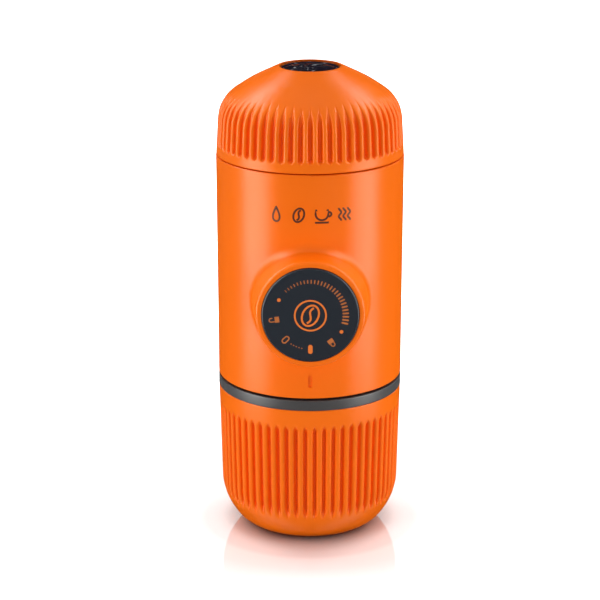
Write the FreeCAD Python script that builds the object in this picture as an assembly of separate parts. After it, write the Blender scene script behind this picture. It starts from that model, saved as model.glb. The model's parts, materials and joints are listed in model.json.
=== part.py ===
"""A handheld manual espresso maker: a fluted water tank on top, a hand-worked piston pump
across the middle, a screw-in coffee holder below it, and a fluted cup that closes the foot.

Millimetres, +Z up, origin at the centre of the cup's foot. The piston faces -Y.
Pieces of the pump are turned about +Z first, with the outward travel as +Z, and then laid
along the piston's axis.
"""

import FreeCAD, Part  # noqa: E401  FreeCAD has to be imported first
import math
import os

V = FreeCAD.Vector
UP = V(0, 0, 1)
ORIGIN = V(0, 0, 0)

# ---- heights of what shows, from the foot up
cup_height = 48.75
band_height = 3.75  # the holder's band between the cup and the body
band_gap = 0.5  # shadow line above the band
body_height = 74.0
tank_gap = 0.3  # seam between the body and the tank
tank_height = 28.3

# ---- outside radii
body_foot_radius = 30.3
body_flare = 0.25  # the body's top is this much wider than its foot
tank_rim_step = 0.1  # the tank's rim inside the body's top
tank_side_taper = 1.0
tank_shoulder_drop = 11.0  # from the tank's top down to where its side would meet its shoulder
tank_shoulder_round = 11.7
tank_cone_reach = 9.8  # from the side in to where the shoulder would meet the cone
tank_cone_drop = 4.4  # from the tank's top down to there
tank_cone_round = 36.0
tank_tip_radius = 10.6
tank_lip = 0.9
cup_rim_step = 0.05  # the cup's rim inside the body's foot
cup_side_taper = 0.9
cup_side_foot_height = 10.9  # where the cup's side would meet its bowl
cup_side_round = 20.0
cup_bowl_taper = 6.95  # from there in to where the bowl would meet the table
cup_foot_round = 11.4
edge_round = 0.4  # moulded outer edges at the seams

# ---- walls
body_wall = 1.9
tank_wall = 2.4
liner_wall = 1.6
cup_wall = 2.4
cup_floor = 2.5

# ---- grip flutes
flute_count = 60
flute_width = 1.75
flute_depth = 1.25
flute_end_round = 3.0
tank_flute_foot = 2.6  # above the tank's rim
tank_flute_reach = 6.2  # from the side in to where a flute runs out on the shoulder
cup_flute_top = 5.0  # below the cup's rim
flute_run_out = 20.0  # degrees between a flute's end and the surface
flute_clear = 6.0  # how far a cutter stands out of the surface

# ---- clearances
fit = 0.1  # between pieces that are fixed to each other
thread_clearance = 0.3  # between screwed lands, which carry the threads
running = 0.05  # pump seal in its cylinder
slide_clearance = 0.15  # sleeve in its guide
cap_clearance = 0.2  # piston cap in the boss's lip
rim_clearance = 0.3  # basket's rim in the holder, skirt in the cup
valve_gap = 0.05  # ball or poppet to its seat

# ---- frame inside the body
frame_wall = 1.6
deck_thickness = 3.0
tank_deck_gap = 2.65  # between the piston's guide and the tank deck
head_deck_gap = 1.3  # between the piston's guide and the head deck
socket_rim_drop = 0.4  # collar below the body's top edge
head_collar_rise = 0.7  # lower collar above the body's bottom edge
pillar_radius = 2.2
pillar_gap = 0.85  # between the front pillars and the piston's guide
pillar_rear_angle = 45.0

# ---- screwed necks
neck_wall = 2.0
gasket_height = 1.9
holder_neck_rise = 10.1  # above the band
holder_neck_wall = 2.4
holder_rim_recess_depth = 1.5

# ---- pump, along the piston's axis, measured outwards from the upright axis
boss_radius = 17.3  # at its front
boss_draft = 5.0  # degrees that the boss widens towards the body
boss_rise = 9.6  # in front of the body
boss_root_round = 3.0
boss_edge_round = 1.2
boss_wall = 1.3  # at its front
boss_lip = 0.5
boss_lip_length = 1.8
cap_rise = 0.6  # in front of the boss
cap_length = 2.6
cap_skin = 1.5
cap_round = 0.8
cap_wall = 1.4
guide_wall = 1.2
guide_overhang = 0.8  # behind the sleeve
guide_front_gap = 0.2  # between the guide and the back of the cap
sleeve_wall = 1.6
sleeve_rear = 5.0
sleeve_web = 2.0
lug_count = 3
lug_angle = 16.0
lug_play = 2.0  # degrees between a lug and its window's side
lug_length = 3.0
lug_height = 1.0
unlock_angle = 45.0
stroke = 26.0
plunger_flange_gap = 0.4  # inside the sleeve
plunger_flange_thickness = 2.0
plunger_radius = 4.8
plunger_tip_gap = 0.8  # between the plunger's tip and the cylinder's end
stub_radius = 3.9
clip_groove_radius = 3.5
clip_radius = 6.0
clip_thickness = 0.7
seal_section = 0.6  # radius of an O-ring's section
seal_lead = 1.6  # from the plunger's tip to the middle of its first O-ring
seal_pitch = 2.6
seal_proud = 0.25  # an O-ring stands out of the rod by this much
cylinder_wall = 1.9
cylinder_mouth_length = 2.0  # past the last O-ring when the piston is out
spring_seat_lead = 9.0  # from the cylinder's end to the spring's foot
spring_seat_land = 1.75  # outside the spring
spring_seat_thickness = 2.0
spring_mid_radius = 9.0
spring_wire = 1.3
spring_turns = 9

# ---- valve block behind the cylinder
block_wall = 2.2
block_socket_wall = 2.0
block_socket_depth = 2.0
block_socket_floor = 3.0  # between the cylinder's end and the valves' bore
valve_bore_radius = 3.0
valve_port_radius = 1.3
valve_seat_height = 2.0
ball_radius = 2.0
valve_spring_radius = 1.55
valve_spring_length = 6.0
valve_spring_wire = 0.35
valve_spring_turns = 5
link_bore_radius = 1.8
cross_bore_radius = 1.6
inlet_drop = 1.2  # inlet seat below the top of the block
outlet_lift = 0.25  # outlet valve above the brewing head's deck
end_seal_width = 1.4
end_seal_height = 0.8

# ---- tank deck fittings
strainer_radius = 3.9
strainer_height = 3.0
strainer_wall = 0.8
strainer_slots = 8
strainer_slot_width = 0.7
strainer_gap = 1.4  # to the tank's neck
air_valve_stem = 1.5
air_valve_cap = 3.4
air_valve_bulb = 2.2

# ---- brewing head
head_boss_gap = 0.8  # inside the group gasket
head_boss_drop = 2.5
head_recess_land = 2.1
head_recess_depth = 0.8
head_outlet_reach = 6.0
channel_radius = 1.1
screen_step = 0.2  # the screen's edge inside the head's
screen_thickness = 0.6
screen_hole_radius = 0.7
screen_rings = 3
screen_ring_pitch = 4.4
screen_screw_radius = 2.4
screen_screw_land = 3.4
screen_screw_head = 0.8
screen_screw_length = 3.4
screw_shank_radius = 1.2
screw_head_radius = 2.0
screw_head_height = 1.3
screw_bite = 9.0
group_gasket_width = 3.1
group_gasket_height = 2.3

# ---- coffee basket and holder
basket_wall = 0.5
basket_rim_width = 2.5
basket_rim_thickness = 0.7
basket_depth = 18.7
basket_foot_round = 2.0
basket_rings = 4
basket_ring_pitch = 3.8
basket_hole_radius = 0.6
bowl_clearance = 0.3
bowl_wall = 1.8
bowl_floor = 2.8
bowl_fall = 0.8  # the bowl's floor slopes down to the drain
bowl_rim_wall = 1.9  # of the bowl's flange, round the basket's rim
bowl_rim_thickness = 1.5
bowl_ledge_thickness = 1.8  # of the holder's ledge under the flange
skirt_wall = 2.2
skirt_drop = 7.7  # below the band
skirt_roof = 1.8  # above the band's underside, where the skirt's hollow narrows
holder_ribs = 6
holder_rib_width = 1.4
holder_rib_gap = 0.3  # to the bowl
drain_radius = 2.2
spout_boss_wall = 2.5
spout_boss_drop = 4.0
grip_ring_height = 2.4
grip_ring_depth = 0.55
grip_ring_proud = 0.15
grip_ring_drop = 1.6

# ---- nozzle and its pressure valve
nozzle_neck_radius = 4.9
nozzle_radius = 6.2
nozzle_tip_radius = 4.4
nozzle_length = 9.0
nozzle_bore_radius = 3.3
nozzle_outlet_radius = 1.7
nozzle_outlet_length = 3.5
poppet_gap = 0.4  # inside the nozzle's bore
poppet_head = 1.4
poppet_stem_radius = 1.2
poppet_stem_length = 4.2
crema_spring_wire = 0.4
crema_spring_turns = 5

# ---- scoop, kept in the cup
scoop_gap = 2.1  # inside the basket when it tamps
scoop_wall = 1.1
scoop_base = 1.5
scoop_height = 18.0
scoop_tab_gap = 3.35  # inside the cup
scoop_tab_width = 9.0
scoop_tab_thickness = 1.6

# ---- tip disc
tip_disc_height = 1.4
tip_disc_drop = 0.35  # below the tank's lip
tip_rim_width = 1.6
tip_relief = 0.35
tip_petals = 8
tip_petal_radius = 1.6
tip_petal_ring = 4.8

# ---- index mark under the piston
mark_rise = 5.9  # above the body's bottom edge
mark_length = 4.2
mark_width = 1.3
mark_depth = 0.5

# ---- places that follow from the sizes
band_z = cup_height
band_top = band_z + band_height
body_z = band_top + band_gap
body_top = body_z + body_height
tank_z = body_top + tank_gap
top_z = tank_z + tank_height

body_top_radius = body_foot_radius + body_flare
tank_rim_radius = body_top_radius - tank_rim_step
tank_shoulder_radius = tank_rim_radius - tank_side_taper
tank_cone_radius = tank_shoulder_radius - tank_cone_reach
tank_flute_top_radius = tank_shoulder_radius - tank_flute_reach
tank_opening_radius = tank_tip_radius - tank_lip
cup_rim_radius = body_foot_radius - cup_rim_step
cup_side_foot_radius = cup_rim_radius - cup_side_taper
cup_foot_corner_radius = cup_side_foot_radius - cup_bowl_taper

body_bore = body_foot_radius - body_wall
collar_radius = body_bore - fit
collar_bore = collar_radius - frame_wall
neck_radius = collar_bore - thread_clearance
neck_bore = neck_radius - neck_wall

holder_bore = neck_radius - holder_neck_wall
bowl_rim_radius = holder_bore - fit
rim_recess_radius = bowl_rim_radius - bowl_rim_wall
basket_rim_radius = rim_recess_radius - rim_clearance
basket_radius = basket_rim_radius - basket_rim_width
rim_z = band_top + holder_neck_rise - holder_rim_recess_depth  # ledge that carries the basket
neck_top = band_top + holder_neck_rise
basket_top = rim_z + basket_rim_thickness
basket_foot = basket_top - basket_depth
bowl_radius = basket_radius + bowl_clearance
bowl_z = basket_foot - bowl_clearance  # floor of the holder's bowl
bowl_under = bowl_z - bowl_floor
bowl_outside = bowl_radius + bowl_wall
bowl_ledge_z = rim_z - bowl_rim_thickness
skirt_radius = cup_rim_radius - cup_wall - rim_clearance
spout_boss_radius = nozzle_neck_radius + fit + spout_boss_wall
nozzle_top = bowl_under  # shoulder inside the spout boss
nozzle_z = bowl_under - spout_boss_drop
nozzle_tip = nozzle_z - nozzle_length
poppet_radius = nozzle_bore_radius - poppet_gap

group_gasket_outer = basket_rim_radius - fit
group_gasket_inner = group_gasket_outer - group_gasket_width
head_boss_radius = group_gasket_inner - head_boss_gap
head_recess_radius = head_boss_radius - head_recess_land
screen_radius = head_boss_radius - screen_step
head_z = basket_top + group_gasket_height
head_top = head_z + deck_thickness

boss_front = body_foot_radius + boss_rise
boss_bore = boss_radius - boss_wall
boss_lip_radius = boss_bore - boss_lip
guide_radius = boss_bore - running
guide_bore = guide_radius - guide_wall
guide_rear = sleeve_rear - guide_overhang
piston_height = head_top + head_deck_gap + guide_radius
deck_z = piston_height + guide_radius + tank_deck_gap
deck_top = deck_z + deck_thickness
pillar_ring_radius = collar_bore - pillar_radius
pillar_front_x = guide_radius + pillar_gap + pillar_radius

cap_front = boss_front + cap_rise
cap_radius = boss_lip_radius - cap_clearance
cap_pocket_radius = cap_radius - cap_wall
sleeve_radius = guide_bore - slide_clearance
sleeve_front = cap_front - cap_length
sleeve_bore = sleeve_radius - sleeve_wall
flange_front = sleeve_front - sleeve_web
flange_rear = flange_front - plunger_flange_thickness
plunger_flange_radius = sleeve_bore - plunger_flange_gap

block_reach = neck_bore - strainer_gap - strainer_radius  # behind the upright axis
air_valve_reach = block_reach  # in front of it
block_radius = valve_bore_radius + block_wall
end_seal_radius = valve_bore_radius + end_seal_width
cylinder_bore = plunger_radius + seal_proud + running
cylinder_radius = cylinder_bore + cylinder_wall
cylinder_end = valve_bore_radius + block_socket_floor - block_reach
plunger_tip = cylinder_end + plunger_tip_gap
seal_places = [plunger_tip + seal_lead, plunger_tip + seal_lead + seal_pitch]
cylinder_mouth = seal_places[-1] + stroke + cylinder_mouth_length
spring_seat_front = cylinder_end + spring_seat_lead
spring_seat_radius = spring_mid_radius + spring_wire / 2 + spring_seat_land

scoop_radius = basket_radius - basket_wall - scoop_gap
scoop_tab_reach = cup_side_foot_radius - cup_wall - scoop_tab_gap


# ---- lines and outlines in the (radius, height) plane


def meet(first, second):
    """Where two lines cross; each is ((r, z), (dr, dz))."""
    (r1, z1), (dr1, dz1) = first
    (r2, z2), (dr2, dz2) = second
    share = ((r2 - r1) * dz2 - (z2 - z1) * dr2) / (dr1 * dz2 - dz1 * dr2)
    return (r1 + share * dr1, z1 + share * dz1)


def through(start, end):
    """The line from start to end."""
    return (start, (end[0] - start[0], end[1] - start[1]))


def inset(line, depth):
    """A line moved to its left, which is inwards for an outline drawn foot, side, top."""
    (r, z), (dr, dz) = line
    length = math.hypot(dr, dz)
    return ((r - depth * dz / length, z + depth * dr / length), (dr, dz))


def rounded_edges(points):
    """Edges of a closed outline. Each point is (r, z) or (r, z, corner radius)."""
    corners = []
    count = len(points)
    for i, point in enumerate(points):
        here = V(point[0], 0, point[1])
        before = V(points[i - 1][0], 0, points[i - 1][1])
        after = V(points[(i + 1) % count][0], 0, points[(i + 1) % count][1])
        radius = point[2] if len(point) > 2 else 0
        back = (before - here).normalize()
        ahead = (after - here).normalize()
        if radius <= 0:
            corners.append((here, None, here))
            continue
        half = math.acos(max(-1.0, min(1.0, back.dot(ahead)))) / 2
        reach = radius / math.tan(half)
        middle = here + (back + ahead).normalize() * (radius / math.sin(half) - radius)
        corners.append((here + back * reach, middle, here + ahead * reach))
    edges = []
    for i, (start, middle, end) in enumerate(corners):
        if middle is not None:
            edges.append(Part.Arc(start, middle, end).toShape())
        following = corners[(i + 1) % count][0]
        if (following - end).Length > 1e-6:
            edges.append(Part.LineSegment(end, following).toShape())
    return edges


def outline_face(points):
    return Part.Face(Part.Wire(rounded_edges(points)))


def turned(points, angle=360):
    """A solid of revolution about +Z."""
    return outline_face(points).revolve(ORIGIN, UP, angle)


def ring(outer, inner, low, high):
    """A plain ring about +Z."""
    return turned([(inner, low), (outer, low), (outer, high), (inner, high)])


def rod(radius, low, high, x=0, y=0):
    return Part.makeCylinder(radius, high - low, V(x, y, low))


def spun(shape, degrees):
    copy = shape.copy()
    copy.rotate(ORIGIN, UP, degrees)
    return copy


def around(shape, count, start=0.0):
    return [spun(shape, start + i * 360.0 / count) for i in range(count)]


def laid(shape):
    """From the turning axis to the piston's axis: +Z becomes outwards, -Y."""
    copy = shape.copy()
    copy.rotate(ORIGIN, V(1, 0, 0), 90)
    copy.translate(V(0, 0, piston_height))
    return copy


def raised(shape, height):
    copy = shape.copy()
    copy.translate(V(0, 0, height))
    return copy


def coil(mid_radius, wire, low, high, turns):
    """A compression spring about +Z, its wire square so that it seats flat."""
    pitch = (high - low - wire) / turns
    helix = Part.makeHelix(pitch, pitch * turns, mid_radius)
    half = wire / 2
    corners = [
        V(mid_radius - half, 0, -half),
        V(mid_radius + half, 0, -half),
        V(mid_radius + half, 0, half),
        V(mid_radius - half, 0, half),
    ]
    section = Part.makePolygon(corners + corners[:1])
    swept = Part.Wire(helix.Edges).makePipeShell([section], True, True)
    return raised(swept, low + half)


def hole_rings(radius, low, high, rings, pitch):
    """Drills for a perforated plate: 6 holes in the first ring, 12 in the next, and so on."""
    drill = rod(radius, low, high)
    drills = []
    for number in range(1, rings + 1):
        placed = drill.copy()
        placed.translate(V(number * pitch, 0, 0))
        drills += around(placed, 6 * number)
    return drills


# ---- the fluted outside of the tank and the cup


def tank_lines():
    """The tank's side, its shoulder and its cone, foot first."""
    rim = (tank_rim_radius, tank_z)
    side_top = (tank_shoulder_radius, top_z - tank_shoulder_drop)
    cone_foot = (tank_cone_radius, top_z - tank_cone_drop)
    tip = (tank_tip_radius, top_z)
    return through(rim, side_top), through(side_top, cone_foot), through(cone_foot, tip)


def cup_lines():
    """The cup's foot, its bowl and its side, foot first."""
    corner = (cup_foot_corner_radius, 0)
    side_foot = (cup_side_foot_radius, cup_side_foot_height)
    rim = (cup_rim_radius, cup_height)
    return through((0, 0), corner), through(corner, side_foot), through(side_foot, rim)


def level(height):
    return ((0, height), (1, 0))


def upright(radius):
    return ((radius, 0), (0, 1))


def leaning(line, degrees):
    """The direction of a line, turned outwards by so many degrees."""
    dr, dz = line[1]
    angle = math.atan2(dr, dz) + math.radians(degrees)
    return (math.sin(angle), math.cos(angle))


def flutes(lines, rounds, low, high, start):
    """Cutters for the flutes: slots from low to high whose floor follows the lines, foot first."""
    floor = [(*meet(lower, upper), corner) for lower, upper, corner in zip(lines, lines[1:], rounds)]
    foot = meet(lines[0], level(low))
    head = meet(lines[-1], level(high))
    outside = tank_rim_radius + flute_clear
    face = outline_face([foot, *floor, head, (outside, high), (outside, low)])
    cutter = face.extrude(V(0, flute_width, 0))
    cutter.translate(V(0, -flute_width / 2, 0))
    return around(cutter, flute_count, start)


def tank_flutes():
    """They run out above the rim and on the shoulder."""
    side, shoulder, _ = tank_lines()
    foot = meet(side, level(tank_z + tank_flute_foot))
    top = meet(shoulder, upright(tank_flute_top_radius))
    lines = [
        (foot, leaning(side, -flute_run_out)),
        inset(side, flute_depth),
        (top, leaning(shoulder, flute_run_out)),
    ]
    rounds = [flute_end_round, tank_shoulder_round - flute_depth]
    return flutes(lines, rounds, tank_z - flute_clear, top_z, -90.0)


def cup_flutes():
    """They run out below the rim, and at the foot where the bowl turns in past their straight floor."""
    _, _, side = cup_lines()
    top = meet(side, level(cup_height - cup_flute_top))
    lines = [inset(side, flute_depth), (top, leaning(side, flute_run_out))]
    return flutes(lines, [flute_end_round], 0, cup_height + flute_clear, -90.0 + 180.0 / flute_count)


# ---- tank


def tank_outline(depth):
    """The tank's side and cone moved in by depth, and the rounded corners between them."""
    side, shoulder, cone = (inset(line, depth) for line in tank_lines())
    corners = [
        (*meet(side, shoulder), tank_shoulder_round - depth),
        (*meet(shoulder, cone), tank_cone_round - depth),
    ]
    return side, corners, cone


def tank_shell():
    side, corners, _ = tank_outline(0)
    in_side, in_corners, in_cone = tank_outline(tank_wall)
    shell = turned(
        [
            (*meet(side, level(tank_z)), edge_round),
            *corners,
            (tank_tip_radius, top_z, tank_tip_radius - tank_opening_radius),
            (tank_opening_radius, top_z, edge_round / 2),
            meet(in_cone, upright(tank_opening_radius)),
            *reversed(in_corners),
            meet(in_side, level(tank_z)),
        ]
    )
    return shell.cut(tank_flutes())


def liner_top():
    return top_z - tip_disc_drop - tip_disc_height


def tank_liner():
    """The inner tank, with the screwed neck that reaches down into the body."""
    side, corners, cone = tank_outline(tank_wall + fit)
    in_side, in_corners, in_cone = tank_outline(tank_wall + fit + liner_wall)
    seat = tank_z + fit
    top = liner_top()
    tip = tank_opening_radius - fit
    neck_foot = deck_top + gasket_height
    swell = tank_z + neck_wall
    return turned(
        [
            (neck_bore, neck_foot),
            (neck_radius, neck_foot, edge_round),
            (neck_radius, seat),
            meet(side, level(seat)),
            *corners,
            meet(cone, upright(tip)),
            (tip, top),
            (0, top),
            (0, top - liner_wall),
            meet(in_cone, level(top - liner_wall)),
            *reversed(in_corners),
            meet(in_side, level(swell)),
            (neck_bore, tank_z - neck_wall),
        ]
    )


def tip_disc():
    """The dark disc in the tank's tip, with a plain moulded rosette."""
    radius = tank_opening_radius - fit
    top = liner_top() + tip_disc_height
    disc = turned(
        [
            (0, liner_top()),
            (radius, liner_top()),
            (radius, top, edge_round / 2),
            (radius - tip_rim_width, top),
            (radius - tip_rim_width, top - tip_relief),
            (0, top - tip_relief),
        ]
    )
    petal = rod(tip_petal_radius, top - tip_relief, top, tip_petal_ring)
    return disc.fuse(around(petal, tip_petals)).removeSplitter()


def tank_gasket():
    return ring(neck_radius, neck_bore, deck_top, deck_top + gasket_height)


# ---- body and frame


def index_mark():
    """A short upright groove under the piston, with round ends."""
    low = body_z + mark_rise - mark_length / 2
    radius = mark_width / 2
    depth = body_top_radius * 2
    front = V(0, -1, 0)
    foot = V(0, 0, low + radius)
    head = V(0, 0, low + mark_length - radius)
    slot = Part.makeCylinder(radius, depth, foot, front)
    slot = slot.fuse(Part.makeCylinder(radius, depth, head, front))
    box = Part.makeBox(mark_width, depth, mark_length - mark_width, V(-radius, -depth, foot.z))
    slot = slot.fuse(box)
    share = mark_rise / body_height
    surface = body_foot_radius + share * (body_top_radius - body_foot_radius)
    return slot.cut(rod(surface - mark_depth, low - mark_width, low + mark_length + mark_width))


def main_body():
    """The body's shell, with the round boss that the piston works in."""
    outside = turned([(0, body_z), (body_foot_radius, body_z), (body_top_radius, body_top), (0, body_top)])
    widening = boss_front * math.tan(math.radians(boss_draft))
    boss = laid(Part.makeCone(boss_radius + widening, boss_radius, boss_front))
    outside = outside.fuse(boss)
    root = []
    for edge in outside.Edges:
        box = edge.BoundBox
        between = -boss_front + 1e-3 < box.YMax < -1e-3
        if between and box.ZLength > boss_radius and box.XLength > boss_radius / 2:
            root.append(edge)
    outside = outside.makeFillet(boss_root_round, root)
    front = [e for e in outside.Edges if e.BoundBox.YMax < -boss_front + 1e-3]
    outside = outside.makeFillet(boss_edge_round, front)
    rims = []
    for edge in outside.Edges:
        box = edge.BoundBox
        if box.ZLength < 1e-6 and box.XLength > body_foot_radius:
            rims.append(edge)
    outside = outside.makeFillet(edge_round, rims)
    hollow = rod(body_bore, body_z - 1, body_top + 1)
    bore = laid(rod(boss_bore, 0, boss_front - boss_lip_length))
    lip = laid(rod(boss_lip_radius, 0, boss_front + 1))
    return outside.cut([hollow, bore, lip, index_mark()])


def pillar_places():
    front_y = -math.sqrt(pillar_ring_radius**2 - pillar_front_x**2)
    rear = math.radians(pillar_rear_angle)
    rear_x = pillar_ring_radius * math.cos(rear)
    rear_y = pillar_ring_radius * math.sin(rear)
    return [(pillar_front_x, front_y), (-pillar_front_x, front_y), (rear_x, rear_y), (-rear_x, rear_y)]


def tank_socket():
    """Upper frame: the deck under the tank, the collar for its neck, and four pillars."""
    top = body_top - socket_rim_drop
    socket = turned(
        [
            (0, deck_z),
            (collar_radius, deck_z),
            (collar_radius, top),
            (collar_bore, top),
            (collar_bore, deck_top),
            (0, deck_top),
        ]
    )
    pillars = [rod(pillar_radius, head_top, deck_z, x, y) for x, y in pillar_places()]
    socket = socket.fuse(pillars).removeSplitter()
    pilot_top = head_top + screw_bite - deck_thickness + screw_head_height
    pilots = [rod(screw_shank_radius, head_top, pilot_top, x, y) for x, y in pillar_places()]
    intake = rod(valve_bore_radius, deck_z, deck_top, 0, block_reach)
    air = rod(air_valve_stem + fit, deck_z, deck_top, 0, -air_valve_reach)
    return socket.cut([*pilots, intake, air])


def group_head():
    """Lower frame: the brewing head's deck, its channel, and the collar for the holder."""
    foot = body_z + head_collar_rise
    boss_foot = head_z - head_boss_drop
    head = turned(
        [
            (0, boss_foot + head_recess_depth),
            (head_recess_radius, boss_foot + head_recess_depth),
            (head_recess_radius, boss_foot),
            (head_boss_radius, boss_foot),
            (head_boss_radius, head_z),
            (collar_bore, head_z),
            (collar_bore, foot),
            (collar_radius, foot),
            (collar_radius, head_top),
            (0, head_top),
        ]
    )
    seat = rod(screen_screw_land, boss_foot, boss_foot + head_recess_depth)
    head = head.fuse(seat).removeSplitter()
    level_z = head_z + deck_thickness / 2
    reach = block_reach - head_outlet_reach
    channel = Part.makeCylinder(channel_radius, reach, V(0, head_outlet_reach, level_z), V(0, 1, 0))
    down = rod(channel_radius, level_z, head_top, 0, block_reach)
    out = rod(channel_radius, boss_foot, level_z, 0, head_outlet_reach)
    pilot = rod(screw_shank_radius, boss_foot, boss_foot + screen_screw_length)
    cuts = [channel, down, out, pilot]
    for x, y in pillar_places():
        cuts.append(rod(screw_shank_radius, head_z, head_top, x, y))
        cuts.append(rod(screw_head_radius + fit, head_z, head_z + screw_head_height, x, y))
    return head.cut(cuts)


def machine_screw(head_radius, head_height, length):
    """A pan-head screw pointing up, the top of its head at height zero, with a hex socket."""
    shank = rod(screw_shank_radius - fit / 2, head_height, length)
    head = turned([(0, 0), (head_radius, 0, head_height / 2), (head_radius, head_height), (0, head_height)])
    corners = []
    for i in range(7):
        angle = math.radians(60 * i)
        corners.append(V(head_radius / 2 * math.cos(angle), head_radius / 2 * math.sin(angle), 0))
    socket = Part.Face(Part.makePolygon(corners)).extrude(V(0, 0, head_height * 0.6))
    return head.fuse(shank).removeSplitter().cut(socket)


def frame_screws():
    """Four screws from the brewing head's underside up into the pillars."""
    screw = raised(machine_screw(screw_head_radius, screw_head_height, screw_bite), head_z)
    screws = []
    for x, y in pillar_places():
        placed = screw.copy()
        placed.translate(V(x, y, 0))
        screws.append(placed)
    return Part.makeCompound(screws)


# ---- valves


def valve_ball_z(top):
    """Centre of a ball that just clears the port of its seat."""
    return top - valve_seat_height - math.sqrt(ball_radius**2 - valve_port_radius**2) - valve_gap


def valve_spring_top(top):
    """Where the spring's inner edge meets the ball."""
    inner = valve_spring_radius - valve_spring_wire / 2
    return valve_ball_z(top) - math.sqrt(ball_radius**2 - inner**2) - valve_gap


def valve_foot(top):
    return valve_spring_top(top) - valve_spring_length


def inlet_top():
    return deck_z - inlet_drop


def outlet_top():
    """The whole valve stands just above the brewing head's deck."""
    valve_height = valve_seat_height - valve_foot(0)
    return head_top + outlet_lift + valve_height


def behind(shape):
    copy = shape.copy()
    copy.translate(V(0, block_reach, 0))
    return copy


def valve_seat(top):
    return behind(ring(valve_bore_radius - fit / 2, valve_port_radius, top - valve_seat_height, top))


def valve_ball(top):
    return Part.makeSphere(ball_radius, V(0, block_reach, valve_ball_z(top)))


def valve_spring(top):
    """Stands on the retainer and holds the ball up."""
    foot = valve_foot(top)
    return behind(coil(valve_spring_radius, valve_spring_wire, foot, valve_spring_top(top), valve_spring_turns))


def valve_retainer(top):
    foot = valve_foot(top)
    return behind(ring(valve_bore_radius - fit / 2, valve_port_radius, foot - valve_seat_height, foot))


def valve_block():
    """Stands between the two decks, takes the cylinder's end, and houses both valves."""
    block = rod(block_radius, head_top, deck_z, 0, block_reach)
    nose_radius = cylinder_radius + fit / 2 + block_socket_wall
    nose = laid(rod(nose_radius, -block_reach, cylinder_end + block_socket_depth))
    block = block.fuse(nose).removeSplitter()
    inlet_floor = valve_foot(inlet_top()) - valve_seat_height
    upper = rod(valve_bore_radius, inlet_floor, deck_z, 0, block_reach)
    link = rod(link_bore_radius, outlet_top(), inlet_floor, 0, block_reach)
    lower = rod(valve_bore_radius, head_top, outlet_top(), 0, block_reach)
    cross = laid(rod(cross_bore_radius, -block_reach, cylinder_end + block_socket_depth))
    socket = laid(rod(cylinder_radius + fit / 2, cylinder_end, cylinder_end + block_socket_depth))
    high_seal = rod(end_seal_radius, deck_z - end_seal_height, deck_z, 0, block_reach)
    low_seal = rod(end_seal_radius, head_top, head_top + end_seal_height, 0, block_reach)
    return block.cut([upper, link, lower, cross, socket, high_seal, low_seal])


def channel_seals():
    """Flat rings that seal the valve block against the two decks."""
    inner = valve_bore_radius
    outer = end_seal_radius - fit / 2
    high = behind(ring(outer, inner, deck_z - end_seal_height, deck_z))
    low = behind(ring(outer, inner, head_top, head_top + end_seal_height))
    return Part.makeCompound([high, low])


def strainer():
    """A slotted cap over the water intake."""
    cap = turned(
        [
            (strainer_radius - strainer_wall, deck_top),
            (strainer_radius, deck_top),
            (strainer_radius, deck_top + strainer_height, strainer_wall),
            (0, deck_top + strainer_height),
            (0, deck_top + strainer_height - strainer_wall),
            (strainer_radius - strainer_wall, deck_top + strainer_height - strainer_wall),
        ]
    )
    half = strainer_slot_width / 2
    slot = Part.makeBox(
        strainer_radius, strainer_slot_width, strainer_height - 2.5 * strainer_wall,
        V(strainer_radius / 2, -half, deck_top + strainer_wall / 2),
    )
    return behind(cap.cut(around(slot, strainer_slots)))


def air_valve():
    """A silicone umbrella valve that lets air into the tank as the water leaves."""
    valve = turned(
        [
            (0, deck_z - air_valve_bulb),
            (air_valve_stem * 0.7, deck_z - air_valve_bulb),
            (air_valve_bulb, deck_z),
            (air_valve_stem, deck_z),
            (air_valve_stem, deck_top),
            (air_valve_cap, deck_top),
            (air_valve_cap * 0.6, deck_top + air_valve_stem / 2),
            (0, deck_top + air_valve_stem / 2),
        ]
    )
    valve.translate(V(0, -air_valve_reach, 0))
    return valve


# ---- pump


def pump_cylinder():
    """The bore that the plunger works in, with the flange that the return spring stands on."""
    seat_rear = spring_seat_front - spring_seat_thickness
    return laid(
        turned(
            [
                (cylinder_bore, cylinder_end),
                (cylinder_radius, cylinder_end),
                (cylinder_radius, seat_rear),
                (spring_seat_radius, seat_rear),
                (spring_seat_radius, spring_seat_front),
                (cylinder_radius, spring_seat_front),
                (cylinder_radius, cylinder_mouth),
                (cylinder_bore + edge_round, cylinder_mouth),
                (cylinder_bore, cylinder_mouth - edge_round),
            ]
        )
    )


def piston_guide():
    """A tube in the boss. Its three windows let the sleeve's lugs slide, turn and stop."""
    front = sleeve_front - guide_front_gap
    tube = ring(guide_radius, guide_bore, guide_rear, front)
    stop = sleeve_rear + lug_length + stroke + guide_front_gap
    window = turned(
        [
            (guide_bore - 1, guide_rear - 1),
            (guide_radius + 1, guide_rear - 1),
            (guide_radius + 1, stop),
            (guide_bore - 1, stop),
        ],
        lug_angle + unlock_angle + 2 * lug_play,
    )
    return laid(tube.cut(around(window, lug_count, -lug_angle / 2 - lug_play)))


def piston_sleeve():
    """The part of the piston that turns: a tube with a web in front and lugs behind."""
    tube = turned(
        [
            (sleeve_bore, sleeve_rear),
            (sleeve_radius, sleeve_rear),
            (sleeve_radius, sleeve_front),
            (stub_radius + fit, sleeve_front),
            (stub_radius + fit, flange_front),
            (sleeve_bore, flange_front),
        ]
    )
    lug = turned(
        [
            (sleeve_bore, sleeve_rear),
            (sleeve_radius + lug_height, sleeve_rear),
            (sleeve_radius + lug_height, sleeve_rear + lug_length),
            (sleeve_bore, sleeve_rear + lug_length),
        ],
        lug_angle,
    )
    return laid(tube.fuse(around(lug, lug_count, -lug_angle / 2)).removeSplitter())


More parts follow.
